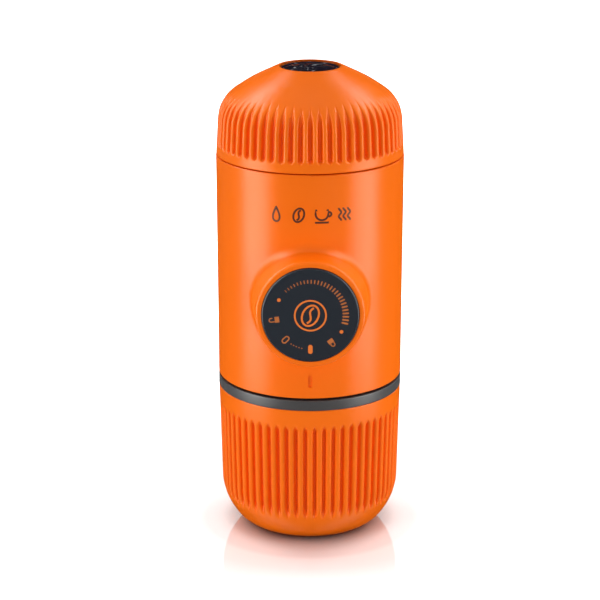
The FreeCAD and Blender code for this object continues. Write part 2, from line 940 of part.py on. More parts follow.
def piston_cap():
    """The round face that the hand pushes."""
    pocket = cap_front - cap_skin
    return laid(
        turned(
            [
                (0, pocket),
                (cap_pocket_radius, pocket),
                (cap_pocket_radius, sleeve_front),
                (cap_radius, sleeve_front),
                (cap_radius, cap_front, cap_round),
                (0, cap_front),
            ]
        )
    )


def plunger_rod():
    """The part of the piston that only slides: spring flange, rod and seal grooves."""
    clip_rear = sleeve_front + running
    clip_front = clip_rear + clip_thickness + running
    groove = seal_section + running
    floor = plunger_radius + seal_proud - 2 * seal_section
    points = [(0, plunger_tip), (plunger_radius, plunger_tip, edge_round)]
    for place in seal_places:
        points += [
            (plunger_radius, place - groove),
            (floor, place - groove),
            (floor, place + groove),
            (plunger_radius, place + groove),
        ]
    points += [
        (plunger_radius, flange_rear),
        (plunger_flange_radius, flange_rear),
        (plunger_flange_radius, flange_front),
        (stub_radius, flange_front),
        (stub_radius, clip_rear),
        (clip_groove_radius, clip_rear),
        (clip_groove_radius, clip_front),
        (stub_radius, clip_front),
        (stub_radius, clip_front + running * 2),
        (0, clip_front + running * 2),
    ]
    return laid(turned(points))


def plunger_seals():
    """Two O-rings near the plunger's tip."""
    middle = cylinder_bore - running - seal_section
    rings = [raised(Part.makeTorus(middle, seal_section), place) for place in seal_places]
    return laid(Part.makeCompound(rings))


def plunger_clip():
    """A spring clip that holds the turning sleeve on the plunger."""
    rear = sleeve_front + running
    clip = ring(clip_radius, clip_groove_radius + running, rear, rear + clip_thickness)
    gap = Part.makeBox(clip_radius, clip_groove_radius, clip_thickness, V(0, -clip_groove_radius / 2, rear))
    return laid(clip.cut(gap))


def return_spring():
    return laid(coil(spring_mid_radius, spring_wire, spring_seat_front, flange_rear, spring_turns))


# ---- brewing head's screen and gasket


def shower_screen():
    top = head_z - head_boss_drop
    plate = rod(screen_radius, top - screen_thickness, top)
    drills = hole_rings(screen_hole_radius, top - 1, top + 1, screen_rings, screen_ring_pitch)
    centre = rod(screw_shank_radius, top - 1, top + 1)
    return plate.cut([*drills, centre])


def screen_screw():
    foot = head_z - head_boss_drop - screen_thickness - screen_screw_head
    length = screen_screw_head + screen_thickness + screen_screw_length - fit
    return raised(machine_screw(screen_screw_radius, screen_screw_head, length), foot)


def group_gasket():
    return ring(group_gasket_outer, group_gasket_inner, head_z - group_gasket_height, head_z)


# ---- coffee basket, holder and nozzle


def filter_basket():
    """The pressed steel basket, with its rim and its drilled floor."""
    inside = basket_radius - basket_wall
    floor = basket_foot + basket_wall
    basket = turned(
        [
            (0, basket_foot),
            (basket_radius, basket_foot, basket_foot_round),
            (basket_radius, rim_z),
            (basket_rim_radius, rim_z),
            (basket_rim_radius, basket_top),
            (inside, basket_top),
            (inside, floor, basket_foot_round - basket_wall),
            (0, floor),
        ]
    )
    drills = hole_rings(basket_hole_radius, basket_foot - 1, floor + 1, basket_rings, basket_ring_pitch)
    return basket.cut(drills)


def holder():
    """Screws up into the body and carries the bowl on a ledge; its band shows outside."""
    skirt_foot = band_z - skirt_drop
    hollow_top = band_z + skirt_roof
    ledge_foot = bowl_ledge_z - bowl_ledge_thickness
    ring_top = band_z - grip_ring_drop
    ring_foot = ring_top - grip_ring_height
    ring_floor = skirt_radius - grip_ring_depth
    collar = turned(
        [
            (bowl_outside + fit, ledge_foot),
            (bowl_outside + fit, bowl_ledge_z),
            (holder_bore, bowl_ledge_z),
            (holder_bore, neck_top),
            (neck_radius, neck_top, edge_round),
            (neck_radius, band_top),
            (body_foot_radius, band_top, edge_round),
            (body_foot_radius, band_z, edge_round),
            (skirt_radius, band_z),
            (skirt_radius, ring_top),
            (ring_floor, ring_top),
            (ring_floor, ring_foot),
            (skirt_radius, ring_foot),
            (skirt_radius, skirt_foot, edge_round),
            (skirt_radius - skirt_wall, skirt_foot, edge_round),
            (skirt_radius - skirt_wall, hollow_top),
            (holder_bore, hollow_top),
            (holder_bore, ledge_foot),
        ]
    )
    start = bowl_outside + holder_rib_gap
    reach = holder_bore + holder_neck_wall / 2 - start
    height = ledge_foot - hollow_top
    rib = Part.makeBox(reach, holder_rib_width, height, V(start, -holder_rib_width / 2, hollow_top))
    return collar.fuse(around(rib, holder_ribs)).removeSplitter()


def holder_bowl():
    """Takes the basket and drains it into the nozzle; its flange hangs on the holder's ledge."""
    return turned(
        [
            (drain_radius, bowl_z - bowl_fall),
            (bowl_radius, bowl_z),
            (bowl_radius, rim_z),
            (rim_recess_radius, rim_z),
            (rim_recess_radius, neck_top),
            (bowl_rim_radius, neck_top, edge_round),
            (bowl_rim_radius, bowl_ledge_z),
            (bowl_outside, bowl_ledge_z),
            (bowl_outside, bowl_under, bowl_wall),
            (spout_boss_radius, bowl_under),
            (spout_boss_radius, nozzle_z, edge_round),
            (nozzle_neck_radius + fit, nozzle_z),
            (nozzle_neck_radius + fit, nozzle_top),
            (drain_radius, nozzle_top),
        ]
    )


def grip_ring():
    """The silicone ring that holds the cup on."""
    top = band_z - grip_ring_drop
    inner = skirt_radius - grip_ring_depth
    outer = skirt_radius + grip_ring_proud
    foot = top - grip_ring_height
    crown = (outer - skirt_radius) * 0.9
    return turned([(inner, foot), (outer, foot, crown), (outer, top, crown), (inner, top)])


def nozzle():
    ledge = nozzle_tip + nozzle_outlet_length
    return turned(
        [
            (nozzle_outlet_radius, nozzle_tip),
            (nozzle_tip_radius, nozzle_tip, edge_round * 2),
            (nozzle_radius, nozzle_z - edge_round, edge_round * 2),
            (nozzle_radius, nozzle_z),
            (nozzle_neck_radius, nozzle_z),
            (nozzle_neck_radius, nozzle_top - fit),
            (nozzle_bore_radius, nozzle_top - fit),
            (nozzle_bore_radius, ledge),
            (nozzle_outlet_radius, ledge),
        ]
    )


def poppet_top():
    return nozzle_top - valve_gap


def crema_poppet():
    """Opens downwards once the pump has built its pressure."""
    top = poppet_top()
    under = top - poppet_head
    return turned(
        [
            (0, under - poppet_stem_length),
            (poppet_stem_radius, under - poppet_stem_length),
            (poppet_stem_radius, under),
            (poppet_radius, under),
            (poppet_radius, top, edge_round / 2),
            (0, top),
        ]
    )


def crema_spring():
    ledge = nozzle_tip + nozzle_outlet_length
    mid = (poppet_radius + poppet_stem_radius) / 2 + crema_spring_wire / 2
    return coil(mid, crema_spring_wire, ledge, poppet_top() - poppet_head, crema_spring_turns)


# ---- cup and scoop


def cup():
    foot, bowl, side = cup_lines()
    in_bowl, in_side = inset(bowl, cup_wall), inset(side, cup_wall)
    in_corner = meet(in_bowl, level(cup_floor))
    in_side_foot = meet(in_bowl, in_side)
    rim = meet(side, level(cup_height))
    shell = turned(
        [
            (0, 0),
            (*meet(foot, bowl), cup_foot_round),
            (*meet(bowl, side), cup_side_round),
            (*rim, edge_round),
            (meet(in_side, level(cup_height))[0], cup_height, edge_round),
            (*in_side_foot, cup_side_round - cup_wall),
            (*in_corner, cup_foot_round - cup_wall),
            (0, cup_floor),
        ]
    )
    return shell.cut(cup_flutes())


def scoop():
    """A measuring scoop whose flat base also tamps the coffee."""
    low = cup_floor
    top = low + scoop_height
    inside = scoop_radius - scoop_wall
    bowl = turned(
        [
            (0, low),
            (scoop_radius, low, edge_round),
            (scoop_radius, top, edge_round),
            (inside, top),
            (inside, low + scoop_base, scoop_base),
            (0, low + scoop_base),
        ]
    )
    start = scoop_radius - scoop_wall / 2
    length = scoop_tab_reach - start - scoop_tab_width / 2
    foot = top - scoop_tab_thickness
    tab = Part.makeBox(length, scoop_tab_width, scoop_tab_thickness, V(start, -scoop_tab_width / 2, foot))
    end = rod(scoop_tab_width / 2, foot, top, start + length)
    eye = rod(scoop_tab_width / 5, foot - 1, top + 1, start + length)
    return bowl.fuse([tab, end]).removeSplitter().cut([eye, rod(inside, foot - 1, top + 1)])


# ---- every piece, by the name of its file

PIECES = {
    "tank_shell": tank_shell,
    "tank_liner": tank_liner,
    "tip_disc": tip_disc,
    "tank_gasket": tank_gasket,
    "main_body": main_body,
    "tank_socket": tank_socket,
    "group_head": group_head,
    "frame_screws": frame_screws,
    "strainer": strainer,
    "air_valve": air_valve,
    "valve_block": valve_block,
    "channel_seals": channel_seals,
    "inlet_seat": lambda: valve_seat(inlet_top()),
    "inlet_ball": lambda: valve_ball(inlet_top()),
    "inlet_spring": lambda: valve_spring(inlet_top()),
    "inlet_retainer": lambda: valve_retainer(inlet_top()),
    "outlet_seat": lambda: valve_seat(outlet_top()),
    "outlet_ball": lambda: valve_ball(outlet_top()),
    "outlet_spring": lambda: valve_spring(outlet_top()),
    "outlet_retainer": lambda: valve_retainer(outlet_top()),
    "pump_cylinder": pump_cylinder,
    "piston_guide": piston_guide,
    "piston_sleeve": piston_sleeve,
    "piston_cap": piston_cap,
    "plunger_rod": plunger_rod,
    "plunger_seals": plunger_seals,
    "plunger_clip": plunger_clip,
    "return_spring": return_spring,
    "shower_screen": shower_screen,
    "screen_screw": screen_screw,
    "group_gasket": group_gasket,
    "filter_basket": filter_basket,
    "holder": holder,
    "holder_bowl": holder_bowl,
    "grip_ring": grip_ring,
    "nozzle": nozzle,
    "crema_poppet": crema_poppet,
    "crema_spring": crema_spring,
    "cup": cup,
    "scoop": scoop,
}


def main():
    os.makedirs("parts", exist_ok=True)
    for name, make in PIECES.items():
        shape = make()
        shape.exportStep(f"parts/{name}.step")
        print(f"{name:16s} {len(shape.Solids)} solid  {shape.Volume / 1000:8.3f} ml  valid {shape.isValid()}")


main()
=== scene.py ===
import json
import math

import bmesh
import bpy
import numpy as np
from mathutils import Matrix, Vector


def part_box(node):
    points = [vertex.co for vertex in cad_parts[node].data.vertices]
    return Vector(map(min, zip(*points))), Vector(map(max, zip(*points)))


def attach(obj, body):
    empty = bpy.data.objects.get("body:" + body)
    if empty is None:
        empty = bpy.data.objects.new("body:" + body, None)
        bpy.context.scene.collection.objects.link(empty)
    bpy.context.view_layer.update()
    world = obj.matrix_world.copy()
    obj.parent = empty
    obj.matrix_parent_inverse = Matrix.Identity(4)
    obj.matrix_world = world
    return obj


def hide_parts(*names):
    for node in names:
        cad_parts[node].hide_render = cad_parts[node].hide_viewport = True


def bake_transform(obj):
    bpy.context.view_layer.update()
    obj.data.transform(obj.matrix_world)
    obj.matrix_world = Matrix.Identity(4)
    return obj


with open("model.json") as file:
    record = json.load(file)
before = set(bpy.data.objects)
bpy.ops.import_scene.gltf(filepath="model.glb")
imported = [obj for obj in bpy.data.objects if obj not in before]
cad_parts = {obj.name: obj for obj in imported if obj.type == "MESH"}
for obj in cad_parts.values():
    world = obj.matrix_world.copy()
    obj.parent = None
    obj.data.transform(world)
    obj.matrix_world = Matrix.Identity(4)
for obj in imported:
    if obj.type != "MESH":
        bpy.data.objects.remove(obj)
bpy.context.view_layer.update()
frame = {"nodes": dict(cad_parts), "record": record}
mm = 0.001
print("packed model loaded:", len(frame["nodes"]), "nodes")


def extent(node):
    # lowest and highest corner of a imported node, in millimetres
    low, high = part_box(node)
    return low / mm, high / mm


# meshes are drawn in millimetres and turned about +Z


def addMesh(name, points, faces, sharpAngle=40):
    mesh = bpy.data.meshes.new(name)
    mesh.from_pydata([tuple(p) for p in np.asarray(points, float) * mm], [], faces)
    mesh.validate()
    mesh.update()
    piece = bpy.data.objects.new(name, mesh)
    bpy.context.scene.collection.objects.link(piece)
    work = bmesh.new()
    work.from_mesh(mesh)
    bmesh.ops.recalc_face_normals(work, faces=work.faces)
    for face in work.faces:
        face.smooth = True
    work.to_mesh(mesh)
    work.free()
    mesh.set_sharp_from_angle(angle=math.radians(sharpAngle))
    return piece


def joined(shapes):
    # several (points, faces) as one
    points, faces = [], []
    for somePoints, someFaces in shapes:
        base = len(points)
        points.extend(somePoints)
        faces.extend([[base + i for i in face] for face in someFaces])
    return points, faces


def roundedPath(corners, closed=False, step=8):
    # corners are (radius, height) or (radius, height, rounding); arcs get a point every few degrees
    path = []
    last = len(corners) - 1
    for i, corner in enumerate(corners):
        here = Vector(corner[:2])
        rounding = corner[2] if len(corner) > 2 else 0
        if rounding <= 0 or (not closed and i in (0, last)):
            path.append(here)
            continue
        back = (Vector(corners[i - 1][:2]) - here).normalized()
        ahead = (Vector(corners[(i + 1) % len(corners)][:2]) - here).normalized()
        half = math.acos(max(-1.0, min(1.0, back.dot(ahead)))) / 2
        middle = here + (back + ahead).normalized() * (rounding / math.sin(half))
        start = here + back * (rounding / math.tan(half)) - middle
        turn = (math.pi - 2 * half) * (1 if back.cross(ahead) < 0 else -1)
        pieces = max(2, round(math.degrees(abs(turn)) / step))
        for k in range(pieces + 1):
            path.append(middle + Matrix.Rotation(turn * k / pieces, 2) @ start)
    return np.array([tuple(p) for p in path])


def meet(first, second):
    # where two lines cross; each is ((r, z), (dr, dz))
    (r1, z1), (dr1, dz1) = first
    (r2, z2), (dr2, dz2) = second
    share = ((r2 - r1) * dz2 - (z2 - z1) * dr2) / (dr1 * dz2 - dz1 * dr2)
    return (r1 + share * dr1, z1 + share * dz1)


def through(start, end):
    return (tuple(start), (end[0] - start[0], end[1] - start[1]))


def inset(line, depth):
    (r, z), (dr, dz) = line
    length = math.hypot(dr, dz)
    return ((r - depth * dz / length, z + depth * dr / length), (dr, dz))


def level(height):
    return ((0, height), (1, 0))


def upright(radius):
    return ((radius, 0), (0, 1))


def smooth(share):
    share = np.clip(share, 0, 1)
    return share * share * (3 - 2 * share)


def skinRings(rings, closed):
    # rings of points, each the same length or a single pole point, joined into one skin
    points, faces, starts = [], [], []
    for ring in rings:
        starts.append(len(points))
        points.extend(ring)
    pairs = list(zip(range(len(rings)), range(1, len(rings))))
    if closed:
        pairs.append((len(rings) - 1, 0))
    for a, b in pairs:
        sizeA, sizeB = len(rings[a]), len(rings[b])
        for k in range(max(sizeA, sizeB)):
            n = (k + 1) % max(sizeA, sizeB)
            quad = [
                starts[a] + k % sizeA, starts[a] + n % sizeA,
                starts[b] + n % sizeB, starts[b] + k % sizeB,
            ]
            face = []
            for index in quad:
                if index not in face:
                    face.append(index)
            faces.append(face)
    return points, faces


# the least space between two rows, and how far to each side the slope is taken
skinRows = {"space": 0.02, "probe": 0.04}


def carvedSkin(path, angles, carve, closed, rows=(), depths=None):
    # a turned skin; carve gives how deep each point of a row lies below the plain surface
    depths = [] if depths is None else depths  # filled with that depth, point by point
    if closed:
        path = np.vstack([path, path[:1]])
    reach = np.concatenate([[0], np.cumsum(np.hypot(*np.diff(path, axis=0).T))])
    places = np.unique(np.round(np.concatenate([reach, rows]), 4))
    places = places[np.concatenate([[True], np.diff(places) > skinRows["space"]])]
    if closed:
        places = places[:-1]
    across, up = np.cos(angles), np.sin(angles)
    rings = []
    for s in places:
        r, z = np.interp(s, reach, path[:, 0]), np.interp(s, reach, path[:, 1])
        if r < 1e-6:
            rings.append([(0.0, 0.0, z)])
            depths.append(0.0)
            continue
        near = np.clip([s - skinRows["probe"], s + skinRows["probe"]], 0, reach[-1])
        dr = np.diff(np.interp(near, reach, path[:, 0]))[0]
        dz = np.diff(np.interp(near, reach, path[:, 1]))[0]
        length = math.hypot(dr, dz)
        sink = carve(s, r, z)
        depths.extend(sink + 0 * angles)
        radii = r - sink * dz / length
        heights = z + sink * dr / length + 0 * angles
        rings.append(list(zip(radii * across, radii * up, heights)))
    return skinRings(rings, closed)


def evenAngles(columns):
    return np.arange(columns) * 2 * math.pi / columns


def layAlongPiston(piece):
    # turned about +Z first, then laid so that +Z points out through the piston
    piece.data.transform(Matrix.Translation((0, 0, pistonHeight * mm)) @ Matrix.Rotation(math.pi / 2, 4, "X"))
    return piece


def placeAlong(path, axis, value):
    # distance along the path to where it first crosses a radius (axis 0) or a height (axis 1)
    reach = np.concatenate([[0], np.cumsum(np.hypot(*np.diff(path, axis=0).T))])
    column = path[:, axis]
    for i in range(len(path) - 1):
        a, b = column[i], column[i + 1]
        if min(a, b) <= value <= max(a, b) and a != b:
            return reach[i] + (value - a) / (b - a) * (reach[i + 1] - reach[i])
    raise ValueError(f"the path never crosses {value}")


# materials


def newGroup(name, inputs, outputs):
    group = bpy.data.node_groups.new(name, "ShaderNodeTree")
    for label, kind, value in inputs:
        socket = group.interface.new_socket(name=label, in_out="INPUT", socket_type=kind)
        socket.default_value = value
    for label, kind in outputs:
        group.interface.new_socket(name=label, in_out="OUTPUT", socket_type=kind)
    return group, group.nodes.new("NodeGroupInput"), group.nodes.new("NodeGroupOutput")


def fill(node, values):
    # constants on a node's own sockets
    for socket, value in values.items():
        node.inputs[socket].default_value = value


def addNode(nodes, kind, values={}, **settings):
    node = nodes.new("ShaderNode" + kind)
    for key, value in settings.items():
        setattr(node, key, value)
    fill(node, values)
    return node


def noise(nodes, link, place, scale, detail, distortion=0.0):
    cloud = addNode(nodes, "TexNoise", {"Scale": scale, "Detail": detail, "Distortion": distortion})
    link(place, cloud.inputs["Vector"])
    return cloud


def centred(nodes, link, value, amount, base):
    # base + (value - 0.5) * amount, where amount and base are sockets or numbers
    shift = addNode(nodes, "Math", {1: 0.5}, operation="SUBTRACT")
    link(value, shift.inputs[0])
    total = addNode(nodes, "Math", operation="MULTIPLY_ADD")
    link(shift.outputs[0], total.inputs[0])
    for place, given in ((1, amount), (2, base)):
        if isinstance(given, (int, float)):
            fill(total, {place: given})
        else:
            link(given, total.inputs[place])
    return total.outputs[0]


# scales of the noise, and the distortion of the marks
grainNoise = {"mottle": 90, "marks": 260, "markTwist": 0.6, "grain": 4000, "lines": 300}


def moulding():
    # fine spark-eroded grain, faint flow mottling and the soft marks of handling
    inputs = [
        ("Color", "NodeSocketColor", (0.8, 0.8, 0.8, 1)),
        ("Mottle", "NodeSocketFloat", 0.04),
        ("Roughness", "NodeSocketFloat", 0.45),
        ("Handling", "NodeSocketFloat", 0.05),
        ("Grain", "NodeSocketFloat", 1.0),
        ("Grain Scale", "NodeSocketFloat", grainNoise["grain"]),
    ]
    outputs = [("Color", "NodeSocketColor"), ("Roughness", "NodeSocketFloat"), ("Height", "NodeSocketFloat")]
    group, given, result = newGroup("Moulded Grain", inputs, outputs)
    nodes, link = group.nodes, group.links.new
    place = addNode(nodes, "TexCoord").outputs["Object"]
    mottle = noise(nodes, link, place, grainNoise["mottle"], 3)
    tint = addNode(nodes, "HueSaturation")
    link(given.outputs["Color"], tint.inputs["Color"])
    link(centred(nodes, link, mottle.outputs["Fac"], given.outputs["Mottle"], 1.0), tint.inputs["Value"])
    link(tint.outputs["Color"], result.inputs["Color"])
    marks = noise(nodes, link, place, grainNoise["marks"], 5, grainNoise["markTwist"])
    rough = centred(nodes, link, marks.outputs["Fac"], given.outputs["Handling"], given.outputs["Roughness"])
    link(rough, result.inputs["Roughness"])
    grain = noise(nodes, link, place, grainNoise["grain"], 2)
    link(given.outputs["Grain Scale"], grain.inputs["Scale"])
    height = addNode(nodes, "Math", operation="MULTIPLY")
    link(grain.outputs["Fac"], height.inputs[0])
    link(given.outputs["Grain"], height.inputs[1])
    link(height.outputs[0], result.inputs["Height"])
    return group


mouldedGrain = moulding()


def newMaterial(name):
    material = bpy.data.materials.new(name)
    material.use_nodes = True
    return material, material.node_tree.nodes, material.node_tree.links.new


def addBump(nodes, link, height, strength, distance, shader):
    bump = addNode(nodes, "Bump", {"Strength": strength, "Distance": distance * mm})
    link(height, bump.inputs["Height"])
    link(bump.outputs["Normal"], shader.inputs["Normal"])


def plastic(name, finish):
    material, nodes, link = newMaterial(name)
    shader = nodes["Principled BSDF"]
    fill(shader, {"IOR": finish["ior"]})
    grain = addNode(nodes, "Group", {
        "Color": (*finish["color"], 1), "Mottle": finish["mottle"], "Roughness": finish["roughness"],
        "Handling": finish["handling"], "Grain": finish["grain"], "Grain Scale": finish["grainScale"],
    }, node_tree=mouldedGrain)
    if "paintedGrooveShade" in finish:  # painted shade: the colour turns darker and redder towards the bottom of the grooves, as the plastic there is lit mostly by its own colour
        groove = addNode(nodes, "Attribute", attribute_name="groove")
        ends = {"A": (*finish["color"], 1), "B": (*finish["paintedGrooveShade"], 1)}
        shade = addNode(nodes, "Mix", ends, data_type="RGBA")
        link(groove.outputs["Fac"], shade.inputs["Factor"])
        link(shade.outputs["Result"], grain.inputs["Color"])
    link(grain.outputs["Color"], shader.inputs["Base Color"])
    link(grain.outputs["Roughness"], shader.inputs["Roughness"])
    addBump(nodes, link, grain.outputs["Height"], finish["bump"], 0.02, shader)
    return material


def steel(name, finish):
    # drawn or turned stainless steel, with fine lines along its grain
    material, nodes, link = newMaterial(name)
    shader = nodes["Principled BSDF"]
    fill(shader, {"Metallic": 1})
    stretch = addNode(nodes, "Mapping", {"Scale": finish["stretch"]})
    link(addNode(nodes, "TexCoord").outputs["Object"], stretch.inputs["Vector"])
    lines = noise(nodes, link, stretch.outputs["Vector"], grainNoise["lines"], 4).outputs["Fac"]
    rough = addNode(nodes, "MapRange", {
        "To Min": finish["roughness"] - finish["spread"], "To Max": finish["roughness"] + finish["spread"],
    })
    link(lines, rough.inputs["Value"])
    link(rough.outputs["Result"], shader.inputs["Roughness"])
    ends = {"A": (*finish["dark"], 1), "B": (*finish["color"], 1)}
    shade = addNode(nodes, "Mix", ends, data_type="RGBA")
    link(lines, shade.inputs["Factor"])
    link(shade.outputs["Result"], shader.inputs["Base Color"])
    addBump(nodes, link, lines, finish["bump"], 0.01, shader)
    return material


orangeShell = plastic("orange shell", {
    # the second colour is painted shade, put at the bottom of the grooves
    "color": (0.86, 0.145, 0.002), "paintedGrooveShade": (0.84, 0.09, 0.002),
    "mottle": 0.03, "roughness": 0.34, "handling": 0.05,
    "grain": 1.0, "grainScale": 5200, "bump": 0.3, "ior": 1.42,
})
holderGrey = plastic("holder grey", {
    "color": (0.056, 0.055, 0.055), "mottle": 0.06, "roughness": 0.4, "handling": 0.08,
    "grain": 1.0, "grainScale": 5200, "bump": 0.3, "ior": 1.5,
})
frameBlack = plastic("inner black", {
    "color": (0.022, 0.023, 0.025), "mottle": 0.06, "roughness": 0.4, "handling": 0.08,
    "grain": 1.0, "grainScale": 4200, "bump": 0.3, "ior": 1.5,
})
capBlack = plastic("piston black", {
    "color": (0.017, 0.021, 0.028), "mottle": 0.05, "roughness": 0.4, "handling": 0.08,
    "grain": 1.0, "grainScale": 6000, "bump": 0.3, "ior": 1.5,
})
tipGloss = plastic("tip gloss black", {
    "color": (0.012, 0.010, 0.018), "mottle": 0.05, "roughness": 0.12, "handling": 0.06,
    "grain": 0.2, "grainScale": 3000, "bump": 0.1, "ior": 1.36,
})
printInk = plastic("orange ink", {
    "color": (0.74, 0.17, 0.025), "mottle": 0.1, "roughness": 0.5, "handling": 0.1,
    "grain": 1.0, "grainScale": 9000, "bump": 0.3, "ior": 1.45,
})
fineInk = plastic("fine orange ink", {
    "color": (0.46, 0.135, 0.035), "mottle": 0.14, "roughness": 0.5, "handling": 0.1,
    "grain": 1.0, "grainScale": 9000, "bump": 0.3, "ior": 1.45,
})
bodyInk = plastic("umber ink", {
    "color": (0.075, 0.022, 0.010), "mottle": 0.14, "roughness": 0.5, "handling": 0.1,
    "grain": 1.0, "grainScale": 9000, "bump": 0.3, "ior": 1.45,
})
acetal = plastic("natural acetal", {
    "color": (0.72, 0.70, 0.64), "mottle": 0.03, "roughness": 0.3, "handling": 0.06,
    "grain": 0.6, "grainScale": 5000, "bump": 0.2, "ior": 1.48,
})
silicone = plastic("dark silicone", {
    "color": (0.045, 0.045, 0.048), "mottle": 0.05, "roughness": 0.6, "handling": 0.1,
    "grain": 1.0, "grainScale": 3500, "bump": 0.4, "ior": 1.42,
})
drawnSteel = steel("drawn steel", {
    "color": (0.62, 0.61, 0.59), "dark": (0.48, 0.47, 0.46), "roughness": 0.28,
    "spread": 0.08, "bump": 0.25, "stretch": (1, 1, 14),
})
springSteel = steel("spring steel", {
    "color": (0.56, 0.56, 0.56), "dark": (0.42, 0.42, 0.43), "roughness": 0.24,
    "spread": 0.08, "bump": 0.25, "stretch": (1, 1, 1),
})

slotMaterials = {
    "shell_plastic": orangeShell,
    "holder_plastic": holderGrey,
    "inner_plastic": frameBlack,
    "black_plastic": capBlack,
    "acetal": acetal,
    "steel": drawnSteel,
    "silicone": silicone,
}
for subpart in frame["record"]["subparts"]:
    node = frame["nodes"][subpart["node"]]
    node.data.materials.clear()
    node.data.materials.append(slotMaterials[subpart["material_slot"]])
print("materials set on", len(frame["nodes"]), "nodes")


def dress(piece, body, slot, material, *nodes):
    piece.data.materials.append(material)
    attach(piece, body)
    if nodes:
        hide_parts(*nodes)
    return piece


# the tank's shell and the cup, with their grip flutes

# places across half a flute, 0 in the middle of its groove and 0.5 on the ridge
halfColumns = np.array([0, 0.07, 0.13, 0.17, 0.2, 0.225, 0.26, 0.31, 0.37, 0.43])
fluteColumns = np.concatenate([-halfColumns[:0:-1], halfColumns, [0.5]])
# rows over a groove's run-out, as shares of it, closer together towards its end
endRows = np.arange(0, 1.01, 0.1) ** 1.4


def fluted(name, path, flutes, foot, top, phase):
    pitch = 2 * math.pi / flutes["count"]
    across = np.abs(np.tile(fluteColumns, flutes["count"]))
    angles = phase + np.concatenate([(k + fluteColumns) * pitch for k in range(flutes["count"])])

    def carve(s, r, z):
        # a rounded ridge and a round-bottomed groove, which is narrower and shallower near its ends
        fromFoot = smooth((s - foot) / flutes["footRun"])
        fromTop = smooth((top - s) / flutes["topRun"]) ** flutes["topEase"]
        run = min(fromFoot, fromTop)
        wide = min(1.0, flutes["widening"] * run)
        half = flutes["groove"] / 2 * (flutes["endWidth"] + (1 - flutes["endWidth"]) * wide)
        groove = np.sqrt(np.clip(1 - (across / half) ** 2, 0, 1))
        ridge = 1 - np.sqrt(np.clip(1 - ((0.5 - across) / (0.5 - half)) ** 2, 0, 1))
        ridge = np.where(across < half, 1, ridge)
        return run * (flutes["ridge"] * ridge + (flutes["depth"] - flutes["ridge"]) * groove)

    rows = np.concatenate([
        foot + endRows * flutes["footRun"], top - endRows * flutes["topRun"],
        np.arange(foot + flutes["footRun"], top - flutes["topRun"], flutes["rowStep"]),
    ])
    closed = path[0, 0] > 1e-6  # a path that starts on the axis ends on it
    depths = []
    piece = addMesh(name, *carvedSkin(path, angles, carve, closed, rows, depths), sharpAngle=70)
    # the share of the full depth at each point, which the material turns into painted shade in the grooves
    share = piece.data.attributes.new("groove", "FLOAT", "POINT")
    share.data.foreach_set("value", np.array(depths) / flutes["depth"])
    return piece


tankShell = {
    "rimRadius": 30.45, "sideTaper": 1.0, "shoulderDrop": 11.0, "shoulderRound": 11.7, "coneReach": 9.8,
    "coneDrop": 4.4, "coneRound": 36.0, "tipRadius": 10.6, "lip": 0.9, "wall": 2.4, "edge": 0.4,
    "fluteFoot": 2.6, "fluteTopRadius": 22.6,
    "flutes": {
        "count": 60, "depth": 1.6, "ridge": 0.85, "groove": 0.43, "endWidth": 0.3, "widening": 1.6,
        "footRun": 1.7, "topRun": 11.5, "topEase": 1.8, "rowStep": 2.0,
    },
}


def tankLines(dims, depth):
    # side, shoulder and cone, moved in by depth, and the two rounded corners between them
    low, high = extent("tank_shell")
    shoulderRadius = dims["rimRadius"] - dims["sideTaper"]
    sideTop = (shoulderRadius, high.z - dims["shoulderDrop"])
    coneFoot = (shoulderRadius - dims["coneReach"], high.z - dims["coneDrop"])
    side = inset(through((dims["rimRadius"], low.z), sideTop), depth)
    shoulder = inset(through(sideTop, coneFoot), depth)
    cone = inset(through(coneFoot, (dims["tipRadius"], high.z)), depth)
    corners = [
        (*meet(side, shoulder), dims["shoulderRound"] - depth),
        (*meet(shoulder, cone), dims["coneRound"] - depth),
    ]
    return side, corners, cone


def makeTankShell(dims):
    low, high = extent("tank_shell")
    _, corners, _ = tankLines(dims, 0)
    inSide, inCorners, inCone = tankLines(dims, dims["wall"])
    opening = dims["tipRadius"] - dims["lip"]
    path = roundedPath([
        (dims["rimRadius"], low.z, dims["edge"]),
        *corners,
        (dims["tipRadius"], high.z, dims["lip"]),
        (opening, high.z, dims["edge"] / 2),
        meet(inCone, upright(opening)),
        *reversed(inCorners),
        meet(inSide, level(low.z)),
    ], closed=True, step=4)
    foot = placeAlong(path, 1, low.z + dims["fluteFoot"])
    top = placeAlong(path, 0, dims["fluteTopRadius"])
    # a groove lies in front: the piston side is -Y
    return fluted("tankShellFluted", path, dims["flutes"], foot, top, -math.pi / 2)


dress(makeTankShell(tankShell), "tank", "shell_plastic", orangeShell, "tank_shell")

cupShape = {
    "rimRadius": 30.25, "sideTaper": 0.9, "sideFoot": 10.9, "sideRound": 20.0, "bowlTaper": 6.95,
    "footRound": 11.4, "wall": 2.4, "floor": 2.5, "edge": 0.4, "fluteFoot": 9.3, "fluteTop": 4.9,
    "flutes": {
        "count": 60, "depth": 1.5, "ridge": 0.8, "groove": 0.38, "endWidth": 0.3, "widening": 1.6,
        "footRun": 4.6, "topRun": 3.2, "topEase": 1.2, "rowStep": 3.0,
    },
}


